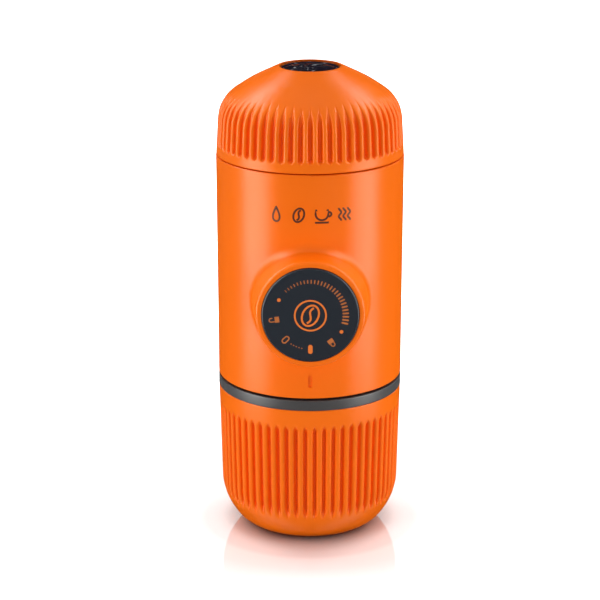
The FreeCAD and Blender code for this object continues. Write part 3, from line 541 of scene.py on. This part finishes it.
def makeCup(dims):
    high = extent("cup")[1].z
    sideFoot = (dims["rimRadius"] - dims["sideTaper"], dims["sideFoot"])
    corner = (sideFoot[0] - dims["bowlTaper"], 0)
    bowl = through(corner, sideFoot)
    side = through(sideFoot, (dims["rimRadius"], high))
    inBowl, inSide = inset(bowl, dims["wall"]), inset(side, dims["wall"])
    path = roundedPath([
        (0, 0),
        (*corner, dims["footRound"]),
        (*sideFoot, dims["sideRound"]),
        (dims["rimRadius"], high, dims["edge"]),
        (*meet(inSide, level(high)), dims["edge"]),
        (*meet(inBowl, inSide), dims["sideRound"] - dims["wall"]),
        (*meet(inBowl, level(dims["floor"])), dims["footRound"] - dims["wall"]),
        (0, dims["floor"]),
    ], step=3)
    foot = placeAlong(path, 1, dims["fluteFoot"])
    top = placeAlong(path, 1, high - dims["fluteTop"])
    flutes = dims["flutes"]
    # a ridge lies in front
    return fluted("cupFluted", path, flutes, foot, top, -math.pi / 2 + math.pi / flutes["count"])


dress(makeCup(cupShape), "drinking_cup", "shell_plastic", orangeShell, "cup")
print("tank shell and cup")

# the dark disc in the tank's tip, domed, with a moulded rosette

tipShape = {
    "drop": 0.3, "rimDrop": 0.55, "round": 0.35, "columns": 252, "rowStep": 0.22,
    "relief": 0.32, "slope": 0.4, "rimWidth": 1.3, "rimSlope": 0.35, "hub": 1.5,
    "petals": 7, "petalRing": 4.6, "petalLong": 3.1, "petalWide": 1.45, "swirl": 0.17,
}


def makeTipDisc(dims):
    low, high = extent("tip_disc")
    radius = high.x
    top = extent("tank_shell")[1].z - dims["drop"]
    angles = evenAngles(dims["columns"])
    pitch = 2 * math.pi / dims["petals"]

    def surface(r):
        dome = top - (dims["rimDrop"] - dims["round"]) * (r / radius) ** 2
        edge = max(0.0, r - radius + dims["round"])
        dome -= dims["round"] - math.sqrt(dims["round"] ** 2 - edge ** 2)
        lean = (angles + dims["swirl"] * (r - dims["petalRing"])) % pitch - pitch / 2
        petal = np.hypot((r - dims["petalRing"]) / dims["petalLong"], r * lean / dims["petalWide"])
        rim = smooth((r - radius + dims["rimWidth"]) / dims["rimSlope"])
        raised = np.maximum(smooth((1 - petal) / dims["slope"]), rim)
        raised = np.maximum(raised, smooth((dims["hub"] - r) / dims["slope"]))
        return dome - dims["relief"] * (1 - raised)

    rings = [[(0.0, 0.0, float(surface(0.0)[0]))]]
    edge = radius - dims["round"] * (1 - np.sin(np.linspace(0, math.pi / 2, 5)))
    radii = np.concatenate([np.arange(dims["rowStep"], radius - dims["round"], dims["rowStep"]), edge])
    for r in radii:
        rings.append(list(zip(r * np.cos(angles), r * np.sin(angles), surface(r))))
    rings.append([(radius * math.cos(a), radius * math.sin(a), low.z) for a in angles])
    rings.append([(0.0, 0.0, low.z)])
    return addMesh("tipDiscDomed", *skinRings(rings, False), sharpAngle=60)


dress(makeTipDisc(tipShape), "tank", "black_plastic", tipGloss, "tip_disc")

# the piston's face and its printed dial

pistonLow, pistonHigh = extent("piston_cap")
pistonHeight = (pistonLow.z + pistonHigh.z) / 2
pistonFace = {
    "columns": 192, "backRound": 0.2,
    "radius": (pistonHigh.x - pistonLow.x) / 2, "front": -pistonLow.y - 0.03, "back": -pistonHigh.y,
    "round": 0.5, "pocketRadius": 13.9, "skin": 1.5,
}


def makePistonFace(dims):
    pocket = dims["front"] - dims["skin"]
    path = roundedPath([
        (0, pocket),
        (dims["pocketRadius"], pocket),
        (dims["pocketRadius"], dims["back"]),
        (dims["radius"], dims["back"], dims["backRound"]),
        (dims["radius"], dims["front"], dims["round"]),
        (0, dims["front"]),
    ], step=9)
    angles = evenAngles(dims["columns"])
    skin = carvedSkin(path, angles, lambda s, r, z: 0 * angles, False)
    return layAlongPiston(addMesh("pistonFace", *skin))


dress(makePistonFace(pistonFace), "piston_head", "black_plastic", capBlack, "piston_cap")

dial = {
    "proud": 0.03, "bite": 0.05, "ring": 11.1, "stroke": 0.42,
    "pill": (1.45, 3.0), "pillAngle": 180, "zero": (1.8, 2.9), "zeroAngle": 224.5,
    "beads": 5, "beadRadius": 0.2, "beadFrom": 194, "beadTo": 213,
    "dotRadius": 0.6, "dotAngles": (-62.5, 118.5),
    "ticks": 27, "tickFrom": -44, "tickTo": 103, "tickShort": 0.9, "tickLong": 2.2, "tickWidth": (0.22, 0.6),
    "locks": {"open": -97, "closed": 143}, "lockStroke": 0.34,
    "ringRadius": 4.9, "ringStroke": 0.55, "bean": (2.5, 3.5), "beanTilt": -24, "beanStroke": 0.62,
}


def onDial(across, up, out):
    return (across, -out, pistonHeight + up)


bodyLow, bodyHigh = extent("main_body")
bodyWall = {"footRadius": 30.3, "topRadius": 30.55}


def onBody(across, up, out):
    # across runs round the body from its front; out is measured from its outside
    share = (up - bodyLow.z) / (bodyHigh.z - bodyLow.z)
    radius = bodyWall["footRadius"] + share * (bodyWall["topRadius"] - bodyWall["footRadius"])
    angle = across / radius
    return ((radius + out) * math.sin(angle), -(radius + out) * math.cos(angle), up)


def prism(outline, place, out, depth):
    # a closed flat shape, a list of (across, up) points, with a thickness
    count = len(outline)
    points = [place(a, b, out) for a, b in outline] + [place(a, b, out - depth) for a, b in outline]
    faces = [list(range(count)), list(reversed(range(count, 2 * count)))]
    for k in range(count):
        n = (k + 1) % count
        faces.append([n, k, count + k, count + n])
    return points, faces


def ribbon(line, width, closed, place, out, depth):
    # a strip of ink along a line of (across, up) points
    pts = [Vector(p) for p in line]
    count = len(pts)
    rings = []
    for k, here in enumerate(pts):
        before = pts[k - 1] if k or closed else here
        after = pts[(k + 1) % count] if k < count - 1 or closed else here
        along = (after - before).normalized()
        across = Vector((-along.y, along.x)) * (width / 2)
        left, right = here + across, here - across
        rings.append([place(p.x, p.y, o) for p, o in (
            (left, out), (right, out), (right, out - depth), (left, out - depth))])
    points, faces = skinRings(rings, closed)
    if not closed:
        faces.append([0, 1, 2, 3])
        last = len(points) - 4
        faces.append([last + 3, last + 2, last + 1, last])
    return points, faces


def oval(width, height, count=28):
    # two half circles and the straights between them, long side up
    radius = width / 2
    half = height / 2 - radius
    line = []
    for k in range(count):
        angle = 2 * math.pi * k / count
        lift = half if math.sin(angle) >= 0 else -half
        line.append((radius * math.cos(angle), radius * math.sin(angle) + lift))
    return line


def spun(line, degrees):
    c, s = math.cos(math.radians(degrees)), math.sin(math.radians(degrees))
    return [(a * c - b * s, a * s + b * c) for a, b in line]


def moved(line, across, up):
    return [(a + across, b + up) for a, b in line]


def onRing(line, angle, radius):
    # angle runs clockwise from the top, in degrees; the shape's up points outwards
    return spun(moved(line, 0, radius), -angle)


def padlock(isOpen):
    # the body and the shackle, drawn upright about the middle
    swing = 0.55 if isOpen else 0.0
    body = [(-0.95, -1.25), (0.95, -1.25), (0.95, 0.15), (-0.95, 0.15)]
    shackle = [(-0.6, 0.2)]
    for k in range(9):
        angle = math.pi - math.pi * k / 8
        shackle.append((0.6 * math.cos(angle), 0.75 + swing + 0.6 * math.sin(angle)))
    shackle.append((0.6, 0.8 if isOpen else 0.2))
    return body, shackle


def beanLines(width, height, tilt):
    turn = np.linspace(0, 2 * math.pi, 48, endpoint=False)
    edge = [(width * math.cos(t), height * math.sin(t)) for t in turn]
    # the seam sways by about a quarter of the width and stops short of both ends
    seam = [(0.24 * width * math.sin(math.pi * t), -0.78 * height * t) for t in np.linspace(-1, 1, 25)]
    return spun(edge, tilt), spun(seam, tilt)


def makeDial(dims):
    # bold marks and fine marks are two inks
    out = pistonFace["front"] + dims["proud"]
    depth = dims["proud"] + dims["bite"]
    ring = dims["ring"]

    def solid(line, angle):
        return prism(onRing(line, angle, ring), onDial, out, depth)

    def stroke(line, width, closed):
        return ribbon(line, width, closed, onDial, out, depth)

    bold = [solid(oval(*dims["pill"]), dims["pillAngle"])]
    bold += [solid(oval(2 * dims["dotRadius"], 2 * dims["dotRadius"]), angle) for angle in dims["dotAngles"]]
    edge, seam = beanLines(*dims["bean"], dims["beanTilt"])
    turn = np.linspace(0, 2 * math.pi, 72, endpoint=False)
    circle = [(dims["ringRadius"] * math.cos(t), dims["ringRadius"] * math.sin(t)) for t in turn]
    bold += [stroke(edge, dims["beanStroke"], True), stroke(seam, dims["beanStroke"], False)]
    bold.append(stroke(circle, dims["ringStroke"], True))

    fine = []
    for angle in np.linspace(dims["beadFrom"], dims["beadTo"], dims["beads"]):
        fine.append(solid(oval(2 * dims["beadRadius"], 2 * dims["beadRadius"], 14), angle))
    for share in np.linspace(0, 1, dims["ticks"]):
        angle = dims["tickFrom"] + (dims["tickTo"] - dims["tickFrom"]) * share
        long = dims["tickShort"] + (dims["tickLong"] - dims["tickShort"]) * share
        wide = dims["tickWidth"][0] + (dims["tickWidth"][1] - dims["tickWidth"][0]) * share
        fine.append(solid(oval(wide, long, 16), angle))
    for state, angle in dims["locks"].items():
        body, shackle = padlock(state == "open")
        fine.append(solid(body, angle))
        fine.append(stroke(onRing(shackle, angle, ring), dims["lockStroke"], False))
    zero = oval(dims["zero"][0] - dims["stroke"], dims["zero"][1] - dims["stroke"])
    fine.append(stroke(onRing(zero, dims["zeroAngle"], ring), dims["stroke"], True))
    parts = (("dialBold", bold), ("dialFine", fine))
    return [addMesh(name, *joined(shapes), sharpAngle=30) for name, shapes in parts]


for marks, ink in zip(makeDial(dial), (printInk, fineInk)):
    dress(marks, "piston_head", "shell_plastic", ink)

# small signs printed on the body: a drop, a bean, a cup and its steam

bodySigns = {"height": 114.1, "pitch": 7.3, "stroke": 0.62, "proud": 0.02, "bite": 0.06}


def makeBodySigns(dims):
    turn = np.linspace(0, 2 * math.pi, 36, endpoint=False)
    drop = [(1.55 * math.sin(t) * math.sin(t / 2) ** 1.3, 2.35 * math.cos(t)) for t in turn]
    edge, seam = beanLines(1.6, 2.3, -22)
    bowl = np.linspace(math.pi, 2 * math.pi, 17)
    cup = [(-2.0, 1.6)] + [(2.0 * math.cos(t), 0.4 + 2.0 * math.sin(t)) for t in bowl] + [(2.0, 1.6)]
    loop = np.linspace(0.15, math.pi - 0.1, 12)
    handle = [(2.0 + math.sin(t), 0.25 + 0.75 * math.cos(t)) for t in loop]
    saucer = [(a, -2.4) for a in np.linspace(-2.2, 2.2, 9)]
    steam = [[(a + 0.4 * math.sin(2.4 * b), b) for b in np.linspace(-2.1, 2.1, 25)] for a in (-1.5, 0, 1.5)]
    signs = [
        [(drop, True)],
        [(edge, True), (seam, False)],
        [(cup, True), (handle, False), (saucer, False)],
        [(line, False) for line in steam],
    ]
    shapes = []
    for k, sign in enumerate(signs):
        across = (k - (len(signs) - 1) / 2) * dims["pitch"]
        for line, closed in sign:
            shapes.append(ribbon(moved(line, across, dims["height"]), dims["stroke"], closed, onBody,
                                 dims["proud"], dims["proud"] + dims["bite"]))
    return addMesh("bodySigns", *joined(shapes), sharpAngle=30)


dress(makeBodySigns(bodySigns), "pump_body", "black_plastic", bodyInk)
print("tip disc, piston face, dial and printed signs")

# the screwed necks: grooves sunk in the lands, and the ridges that run in them

thread = {
    "lead": 6.0, "starts": 4, "depth": 0.5, "groove": 0.62, "slope": 0.3, "runOut": 1.2,
    "landMargin": 0.03, "rowStep": 0.16, "columns": 240,
}


def threadCarve(landRadius, low, high, angles):
    # low and high are where the grooves run out; an end past the land stays open
    pitch = thread["lead"] / thread["starts"]
    climb = thread["lead"] * angles / (2 * math.pi)

    def carve(s, r, z):
        if abs(r - landRadius) > thread["landMargin"]:
            return 0 * angles
        run = min(smooth((z - low) / thread["runOut"]), smooth((high - z) / thread["runOut"]))
        wave = np.abs(((z - climb) / pitch) % 1 - 0.5) * 2
        return thread["depth"] * run * smooth((thread["groove"] - wave) / thread["slope"])

    return carve


ridgeShape = {
    "tip": 26.12, "wall": 26.75, "tipHalf": 0.16, "wallHalf": 0.36, "perTurn": 120,
    "taper": 0.25, "least": 0.02,  # turns over which an end fades, and what it keeps of its height
}
ridgeSpans = {"headRidges": (55.0, 61.0), "socketRidges": (109.5, 115.5)}  # foot and top


def makeThreadRidges(name, low, high, dims):
    # each ridge starts on a groove's middle and fades into the wall at both ends
    pitch = thread["lead"] / thread["starts"]
    turns = (high - low) / thread["lead"]
    lowest = dims["wall"] - dims["least"]
    shapes = []
    for start in range(thread["starts"]):
        first = math.ceil((low - pitch * (start + 0.5)) / thread["lead"])
        foot = thread["lead"] * first + pitch * (start + 0.5)
        rings = []
        for k in range(int(turns * dims["perTurn"]) + 1):
            turn = k / dims["perTurn"]
            fade = float(smooth(min(turn, turns - turn) / dims["taper"]))
            tip = lowest - (lowest - dims["tip"]) * fade
            angle = 2 * math.pi * turn
            z = foot + thread["lead"] * turn
            rings.append([(r * math.cos(angle), r * math.sin(angle), z + h) for r, h in (
                (dims["wall"], -dims["wallHalf"]), (dims["wall"], dims["wallHalf"]),
                (tip, dims["tipHalf"]), (tip, -dims["tipHalf"]))])
        points, faces = skinRings(rings, False)
        last = len(points) - 4
        faces += [[0, 1, 2, 3], [last + 3, last + 2, last + 1, last]]
        shapes.append((points, faces))
    return addMesh(name, *joined(shapes), sharpAngle=30)


linerShape = {"wall": 1.6, "fit": 0.1, "neckRadius": 26.4, "neckWall": 2.0, "edge": 0.4, "threadTop": 118.5}


def makeTankLiner(dims):
    low, high = extent("tank_liner")
    shellLow = extent("tank_shell")[0].z
    neckBore = dims["neckRadius"] - dims["neckWall"]
    side, corners, cone = tankLines(tankShell, tankShell["wall"] + dims["fit"])
    inSide, inCorners, inCone = tankLines(tankShell, tankShell["wall"] + dims["fit"] + dims["wall"])
    seat = shellLow + dims["fit"]
    tip = tankShell["tipRadius"] - tankShell["lip"] - dims["fit"]
    path = roundedPath([
        (0, high.z - dims["wall"]),
        meet(inCone, level(high.z - dims["wall"])),
        *reversed(inCorners),
        meet(inSide, level(shellLow + dims["neckWall"])),
        (neckBore, shellLow - dims["neckWall"]),
        (neckBore, low.z),
        (dims["neckRadius"], low.z, dims["edge"]),
        (dims["neckRadius"], seat),
        meet(side, level(seat)),
        *corners,
        meet(cone, upright(tip)),
        (tip, high.z),
        (0, high.z),
    ], step=8)
    angles = evenAngles(thread["columns"])
    start = placeAlong(path, 1, low.z) + dims["neckWall"]
    rows = start + np.arange(0, dims["threadTop"] - low.z, thread["rowStep"])
    carve = threadCarve(dims["neckRadius"], low.z - 5, dims["threadTop"], angles)
    return addMesh("tankLinerScrewed", *carvedSkin(path, angles, carve, False, rows), sharpAngle=45)


dress(makeTankLiner(linerShape), "tank", "inner_plastic", frameBlack, "tank_liner")

holderShape = {
    "neckRadius": 26.4, "bore": 24.0, "bandRadius": 30.3, "bandFoot": 48.75, "bandTop": 52.2, "edge": 0.3,
    "skirtRadius": 27.55, "skirtWall": 2.2, "seatTop": 47.15, "seatFoot": 44.75, "seatDepth": 0.55,
    "hollowTop": 50.55, "ledgeBore": 21.4, "ledgeFoot": 57.8, "ledgeTop": 59.6,
    "ribs": 6, "ribWidth": 1.4, "ribStart": 21.6, "ribEnd": 24.3, "threadFoot": 54.0,
}


def makeHolder(dims):
    low, high = extent("holder")
    path = roundedPath([
        (dims["bore"], dims["ledgeTop"]),
        (dims["bore"], high.z),
        (dims["neckRadius"], high.z, dims["edge"]),
        (dims["neckRadius"], dims["bandTop"]),
        (dims["bandRadius"], dims["bandTop"], dims["edge"]),
        (dims["bandRadius"], dims["bandFoot"], dims["edge"]),
        (dims["skirtRadius"], dims["bandFoot"]),
        (dims["skirtRadius"], dims["seatTop"]),
        (dims["skirtRadius"] - dims["seatDepth"], dims["seatTop"]),
        (dims["skirtRadius"] - dims["seatDepth"], dims["seatFoot"]),
        (dims["skirtRadius"], dims["seatFoot"]),
        (dims["skirtRadius"], low.z, dims["edge"]),
        (dims["skirtRadius"] - dims["skirtWall"], low.z, dims["edge"]),
        (dims["skirtRadius"] - dims["skirtWall"], dims["hollowTop"]),
        (dims["bore"], dims["hollowTop"]),
        (dims["bore"], dims["ledgeFoot"]),
        (dims["ledgeBore"], dims["ledgeFoot"]),
        (dims["ledgeBore"], dims["ledgeTop"]),
    ], closed=True, step=12)
    path = path[::-1]  # drawn upwards on the outside, as the carving takes it
    angles = evenAngles(thread["columns"])
    neckFoot = placeAlong(path, 1, dims["bandTop"] + 0.01)
    rows = neckFoot + np.arange(0, high.z - dims["bandTop"], thread["rowStep"])
    carve = threadCarve(dims["neckRadius"], dims["threadFoot"], high.z + 5, angles)
    shapes = [carvedSkin(path, angles, carve, True, rows)]
    half = dims["ribWidth"] / 2
    around = [
        (dims["ribStart"], -half), (dims["ribEnd"], -half), (dims["ribEnd"], half), (dims["ribStart"], half),
    ]
    for k in range(dims["ribs"]):
        turn = Matrix.Rotation(2 * math.pi * k / dims["ribs"], 3, "Z")
        corners = [(r, w, z) for z in (dims["hollowTop"], dims["ledgeFoot"]) for r, w in around]
        faces = [[3, 2, 1, 0], [4, 5, 6, 7], [0, 1, 5, 4], [1, 2, 6, 5], [2, 3, 7, 6], [3, 0, 4, 7]]
        shapes.append(([tuple(turn @ Vector(c)) for c in corners], faces))
    return addMesh("holderScrewed", *joined(shapes), sharpAngle=45)


dress(makeHolder(holderShape), "coffee_holder", "holder_plastic", holderGrey, "holder")

for name, (low, high) in ridgeSpans.items():
    dress(makeThreadRidges(name, low, high, ridgeShape), "pump_body", "inner_plastic", frameBlack)
print("screwed necks")

# springs, closed and flattened at both ends


def makeCoil(name, midRadius, wire, low, high, turns, sides=10, perTurn=28):
    steps = int(turns * perTurn)
    edge = wire / (high - low - wire)  # how far the dead turn at each end climbs
    rings = []
    for k in range(steps + 1):
        turn = k / perTurn
        rise = np.interp(turn, [0, 1, turns - 1, turns], [0, edge, 1 - edge, 1])
        height = low + wire / 2 + rise * (high - low - wire)
        angle = 2 * math.pi * turn
        ring = []
        for s in range(sides):
            a = 2 * math.pi * s / sides
            radius = midRadius + wire / 2 * math.cos(a)
            ring.append((radius * math.cos(angle), radius * math.sin(angle), height + wire / 2 * math.sin(a)))
        rings.append(ring)
    points, faces = skinRings(rings, False)
    faces.append(list(range(sides)))
    faces.append(list(reversed(range(len(points) - sides, len(points)))))
    return addMesh(name, points, faces, sharpAngle=60)


returnCoil = {"midRadius": 9.0, "wire": 1.3, "turns": 10}


def makeReturnSpring(dims):
    low, high = extent("return_spring")
    coil = makeCoil("returnCoil", dims["midRadius"], dims["wire"], -high.y, -low.y, dims["turns"])
    layAlongPiston(coil)
    coil.data.materials.append(springSteel)
    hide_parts("return_spring")
    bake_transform(coil)


makeReturnSpring(returnCoil)

valveCoils = {  # its piece, the body it stands on, the body that it pushes, wire, turns
    "inlet_spring": ("inletCoil", "pump_body", "inlet_valve_ball", 0.35, 7),
    "outlet_spring": ("outletCoil", "pump_body", "outlet_valve_ball", 0.35, 7),
    "crema_spring": ("cremaCoil", "coffee_holder", "pressure_valve", 0.4, 6),
}


def makeValveSprings(dims):
    for node, (name, fixed, moving, wire, turns) in dims.items():
        low, high = extent(node)
        middle = (low + high) / 2
        coil = makeCoil(name, (high.y - low.y - wire) / 2, wire, low.z, high.z, turns, sides=8, perTurn=20)
        coil.data.transform(Matrix.Translation((0, middle.y * mm, 0)))
        coil.data.materials.append(springSteel)
        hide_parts(node)
        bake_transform(coil)
        print(name, "stands from", round(low.z, 2), "to", round(high.z, 2))


makeValveSprings(valveCoils)
print("springs")

# camera

# places in millimetres, pitch in degrees, focal, frame and lift in pixels of the frame
view = {
    "across": -3.25, "distance": 689.0, "height": 293.2, "pitch": 17.46,
    "focal": 2179.0, "frame": 600.0, "lift": 0.9, "sensor": 36,
}


def addCamera(dims):
    data = bpy.data.cameras.new("camera")
    data.sensor_width = dims["sensor"]
    data.lens = dims["sensor"] * dims["focal"] / dims["frame"]
    data.shift_y = dims["lift"] / dims["frame"]
    data.clip_start = 0.01
    camera = bpy.data.objects.new("camera", data)
    camera.location = (dims["across"] * mm, -dims["distance"] * mm, dims["height"] * mm)
    camera.rotation_euler = (math.radians(90 - dims["pitch"]), 0, 0)
    bpy.context.scene.collection.objects.link(camera)
    bpy.context.scene.camera = camera


addCamera(view)

# studio: low lamps round the foot, one overhead, an even surround, and the cards that the gloss sees
# azimuth 0 is in front of the piston and grows to the right, elevation grows upwards, both in degrees

studio = {
    "aim": 0.09, "ambient": 0.42,
    "lamps": {  # azimuth, distance, height, size, power
        "left low lamp": (-52, 0.3, 0.05, (0.12, 0.08), 0.46),
        "front low lamp": (20, 0.3, 0.05, (0.12, 0.08), 0.2),
        "right low lamp": (75, 0.3, 0.05, (0.12, 0.08), 0.4),
        "left back lamp": (-130, 0.7, 0.2, (0.35, 0.7), 3.0),
        "right back lamp": (130, 0.7, 0.2, (0.35, 0.7), 3.0),
        "top lamp": (0, 0.001, 1.2, (0.5, 0.5), 7.3),
    },
}


def addLamps(dims):
    for name, (azimuth, distance, height, size, power) in dims["lamps"].items():
        data = bpy.data.lights.new(name, "AREA")
        data.shape = "RECTANGLE"
        data.size, data.size_y = size
        data.energy = power
        lamp = bpy.data.objects.new(name, data)
        turn = math.radians(azimuth)
        lamp.location = (distance * math.sin(turn), -distance * math.cos(turn), height)
        towards = Vector((0, 0, dims["aim"])) - lamp.location
        lamp.rotation_euler = towards.to_track_quat("-Z", "Y").to_euler()
        lamp.visible_glossy = False  # the cards shine instead
        bpy.context.scene.collection.objects.link(lamp)


addLamps(studio)

cards = {
    "middle": 0.085,
    # stations of a bright card: azimuth, elevation, half width
    "bright": [(66, -22, 16), (66, 0, 16), (68, 20, 17), (82, 38, 20), (108, 50, 26), (132, 60, 30)],
    "brightDistance": 0.28, "leftShine": 8.8, "rightShine": 7.2,
    "darkDistance": 0.9,
    "front": {"azimuths": (-56, -30, 0, 30, 56), "elevations": (-90, -70, -40, -10, 20, 50, 66)},
    "back": {"azimuths": (92, 110, 130, 150, 168), "elevations": (-90, -70, -40, -10, 20, 44, 66)},
    "low": {"azimuths": (168, 174, 180), "elevations": (-90, -70, -40, -10, 10)},
    "high": {"azimuths": (168, 174, 180), "elevations": (28, 46, 66)},
    "sky": {"azimuths": tuple(range(-180, 181, 30)), "elevations": (66, 78, 90)}, "skyShine": 0.4,
    # a near card behind, above what the floor mirrors, keeps the disc in the tip dark
    "tip": {"azimuths": (150, 165, 180, 195, 210), "elevations": (19, 24, 30, 36)}, "tipDistance": 0.32,
}


def direction(azimuth, elevation):
    a, e = math.radians(azimuth), math.radians(elevation)
    return Vector((math.sin(a) * math.cos(e), -math.cos(a) * math.cos(e), math.sin(e)))


def addCard(name, rows, distance, shine):
    # a curved card that only gloss sees; rows are lists of (azimuth, elevation)
    centre = Vector((0, 0, cards["middle"])) / mm
    points = [centre + direction(*spot) * distance / mm for row in rows for spot in row]
    wide = len(rows[0])
    faces = []
    for r in range(len(rows) - 1):
        for k in range(wide - 1):
            faces.append([r * wide + k, r * wide + k + 1, (r + 1) * wide + k + 1, (r + 1) * wide + k])
    card = addMesh(name, points, faces)
    material, nodes, link = newMaterial(name)
    glow = addNode(nodes, "Emission", {"Strength": shine})
    link(glow.outputs[0], nodes["Material Output"].inputs["Surface"])
    material.cycles.emission_sampling = "NONE"
    card.data.materials.append(material)
    card.visible_camera = card.visible_diffuse = card.visible_shadow = False
    card.visible_transmission = card.visible_volume_scatter = False


def addCards(dims):
    for side, label in ((-1, "left"), (1, "right")):
        rows = [[(side * (a + k * half), e) for k in (-1, 0, 1)] for a, e, half in dims["bright"]]
        addCard(label + "Card", rows, dims["brightDistance"], dims[label + "Shine"])
        for part in ("back", "low", "high"):
            span = dims[part]
            rows = [[(side * a, e) for a in span["azimuths"]] for e in span["elevations"]]
            addCard(label + part.title() + "Flag", rows, dims["darkDistance"], 0)
    for part, distance, shine in (
        ("front", dims["darkDistance"], 0),
        ("sky", dims["darkDistance"], dims["skyShine"]),
        ("tip", dims["tipDistance"], 0),
    ):
        span = dims[part]
        rows = [[(a, e) for a in span["azimuths"]] for e in span["elevations"]]
        addCard(part + "Flag", rows, distance, shine)


addCards(cards)


def anyRay(nodes, link, rays):
    # 1 for the listed kinds of ray, 0 for the rest
    path = addNode(nodes, "LightPath")
    total = path.outputs[rays[0]]
    for ray in rays[1:]:
        more = addNode(nodes, "Math", operation="MAXIMUM")
        link(total, more.inputs[0])
        link(path.outputs[ray], more.inputs[1])
        total = more.outputs[0]
    return total


seenRays = ["Is Camera Ray", "Is Glossy Ray", "Is Transmission Ray"]


def addWorld(dims):
    world = bpy.data.worlds.new("studio white")
    bpy.context.scene.world = world
    world.use_nodes = True
    world.cycles.sampling_method = "NONE"  # an even light needs none
    nodes, link = world.node_tree.nodes, world.node_tree.links.new
    shown = nodes["Background"]
    fill(shown, {"Color": (1, 1, 1, 1), "Strength": 1})
    light = addNode(nodes, "Background", {"Color": (1, 1, 1, 1), "Strength": dims["ambient"]})
    mix = addNode(nodes, "MixShader")
    link(anyRay(nodes, link, seenRays), mix.inputs["Fac"])
    link(light.outputs[0], mix.inputs[1])
    link(shown.outputs[0], mix.inputs[2])
    link(mix.outputs[0], nodes["World Output"].inputs["Surface"])


addWorld(studio)

# it mirrors near the object and less away from it, from the first radius to the second, in metres
floorFinish = {
    "size": 6.0, "color": 0.32, "mirror": 0.35, "fade": (0.033, 0.076), "roughness": 0.045,
    # how bright it shows from the foot outwards, as radius and level: painted shade, dimmer in a ring round
    # the foot than under it and far out
    "shown": [(0.026, 2.0), (0.035, 1.32), (0.045, 1.14), (0.06, 1.07), (0.09, 1.15), (0.25, 2.3)],
    "contact": 0.013,  # reach of the shade beside the foot
}


def addFloor(dims):
    half = dims["size"] / 2 / mm
    corners = [(-half, -half, 0), (half, -half, 0), (half, half, 0), (-half, half, 0)]
    floor = addMesh("floor", corners, [[0, 1, 2, 3]])
    material, nodes, link = newMaterial("polished white floor")
    shader = nodes["Principled BSDF"]
    fill(shader, {"Roughness": 1, "Specular IOR Level": 0})
    away = addNode(nodes, "VectorMath", operation="LENGTH")
    link(addNode(nodes, "TexCoord").outputs["Object"], away.inputs[0])
    # painted shade: the ramp dims the floor's colour in a ring round the foot
    reach, most = dims["shown"][-1]
    share = addNode(nodes, "Math", {1: reach}, operation="DIVIDE")
    link(away.outputs["Value"], share.inputs[0])
    ramp = addNode(nodes, "ValToRGB")
    stops = ramp.color_ramp.elements
    for k, (radius, brightness) in enumerate(dims["shown"]):
        stop = stops[k] if k < 2 else stops.new(radius / reach)
        stop.position = radius / reach
        stop.color = (*[brightness / most] * 3, 1)
    link(share.outputs[0], ramp.inputs["Fac"])
    shown = addNode(nodes, "VectorMath", {"Scale": most}, operation="SCALE")
    link(ramp.outputs["Color"], shown.inputs[0])
    shade = addNode(nodes, "Mix", {"A": (*[dims["color"]] * 3, 1)}, data_type="RGBA")
    link(shown.outputs[0], shade.inputs["B"])
    link(anyRay(nodes, link, seenRays), shade.inputs["Factor"])
    # painted shade: ambient occlusion darkens the floor's colour next to the foot
    nearby = addNode(nodes, "AmbientOcclusion", {"Distance": dims["contact"]})
    dim = addNode(nodes, "VectorMath", operation="SCALE")
    link(shade.outputs["Result"], dim.inputs[0])
    link(nearby.outputs["AO"], dim.inputs["Scale"])
    link(dim.outputs[0], shader.inputs["Base Color"])
    gloss = addNode(nodes, "BsdfAnisotropic", {"Roughness": dims["roughness"]})
    near, far = dims["fade"]
    fade = addNode(nodes, "MapRange", {
        "From Min": near, "From Max": far, "To Min": dims["mirror"], "To Max": 0,
    }, interpolation_type="SMOOTHSTEP")
    link(away.outputs["Value"], fade.inputs["Value"])
    mix = addNode(nodes, "MixShader")
    link(fade.outputs["Result"], mix.inputs["Fac"])
    link(shader.outputs[0], mix.inputs[1])
    link(gloss.outputs[0], mix.inputs[2])
    link(mix.outputs[0], nodes["Material Output"].inputs["Surface"])
    floor.data.materials.append(material)
    floor.visible_glossy = False  # the cards reach below it


addFloor(floorFinish)
bpy.context.scene.view_settings.view_transform = "Standard"
print("camera, studio and floor")
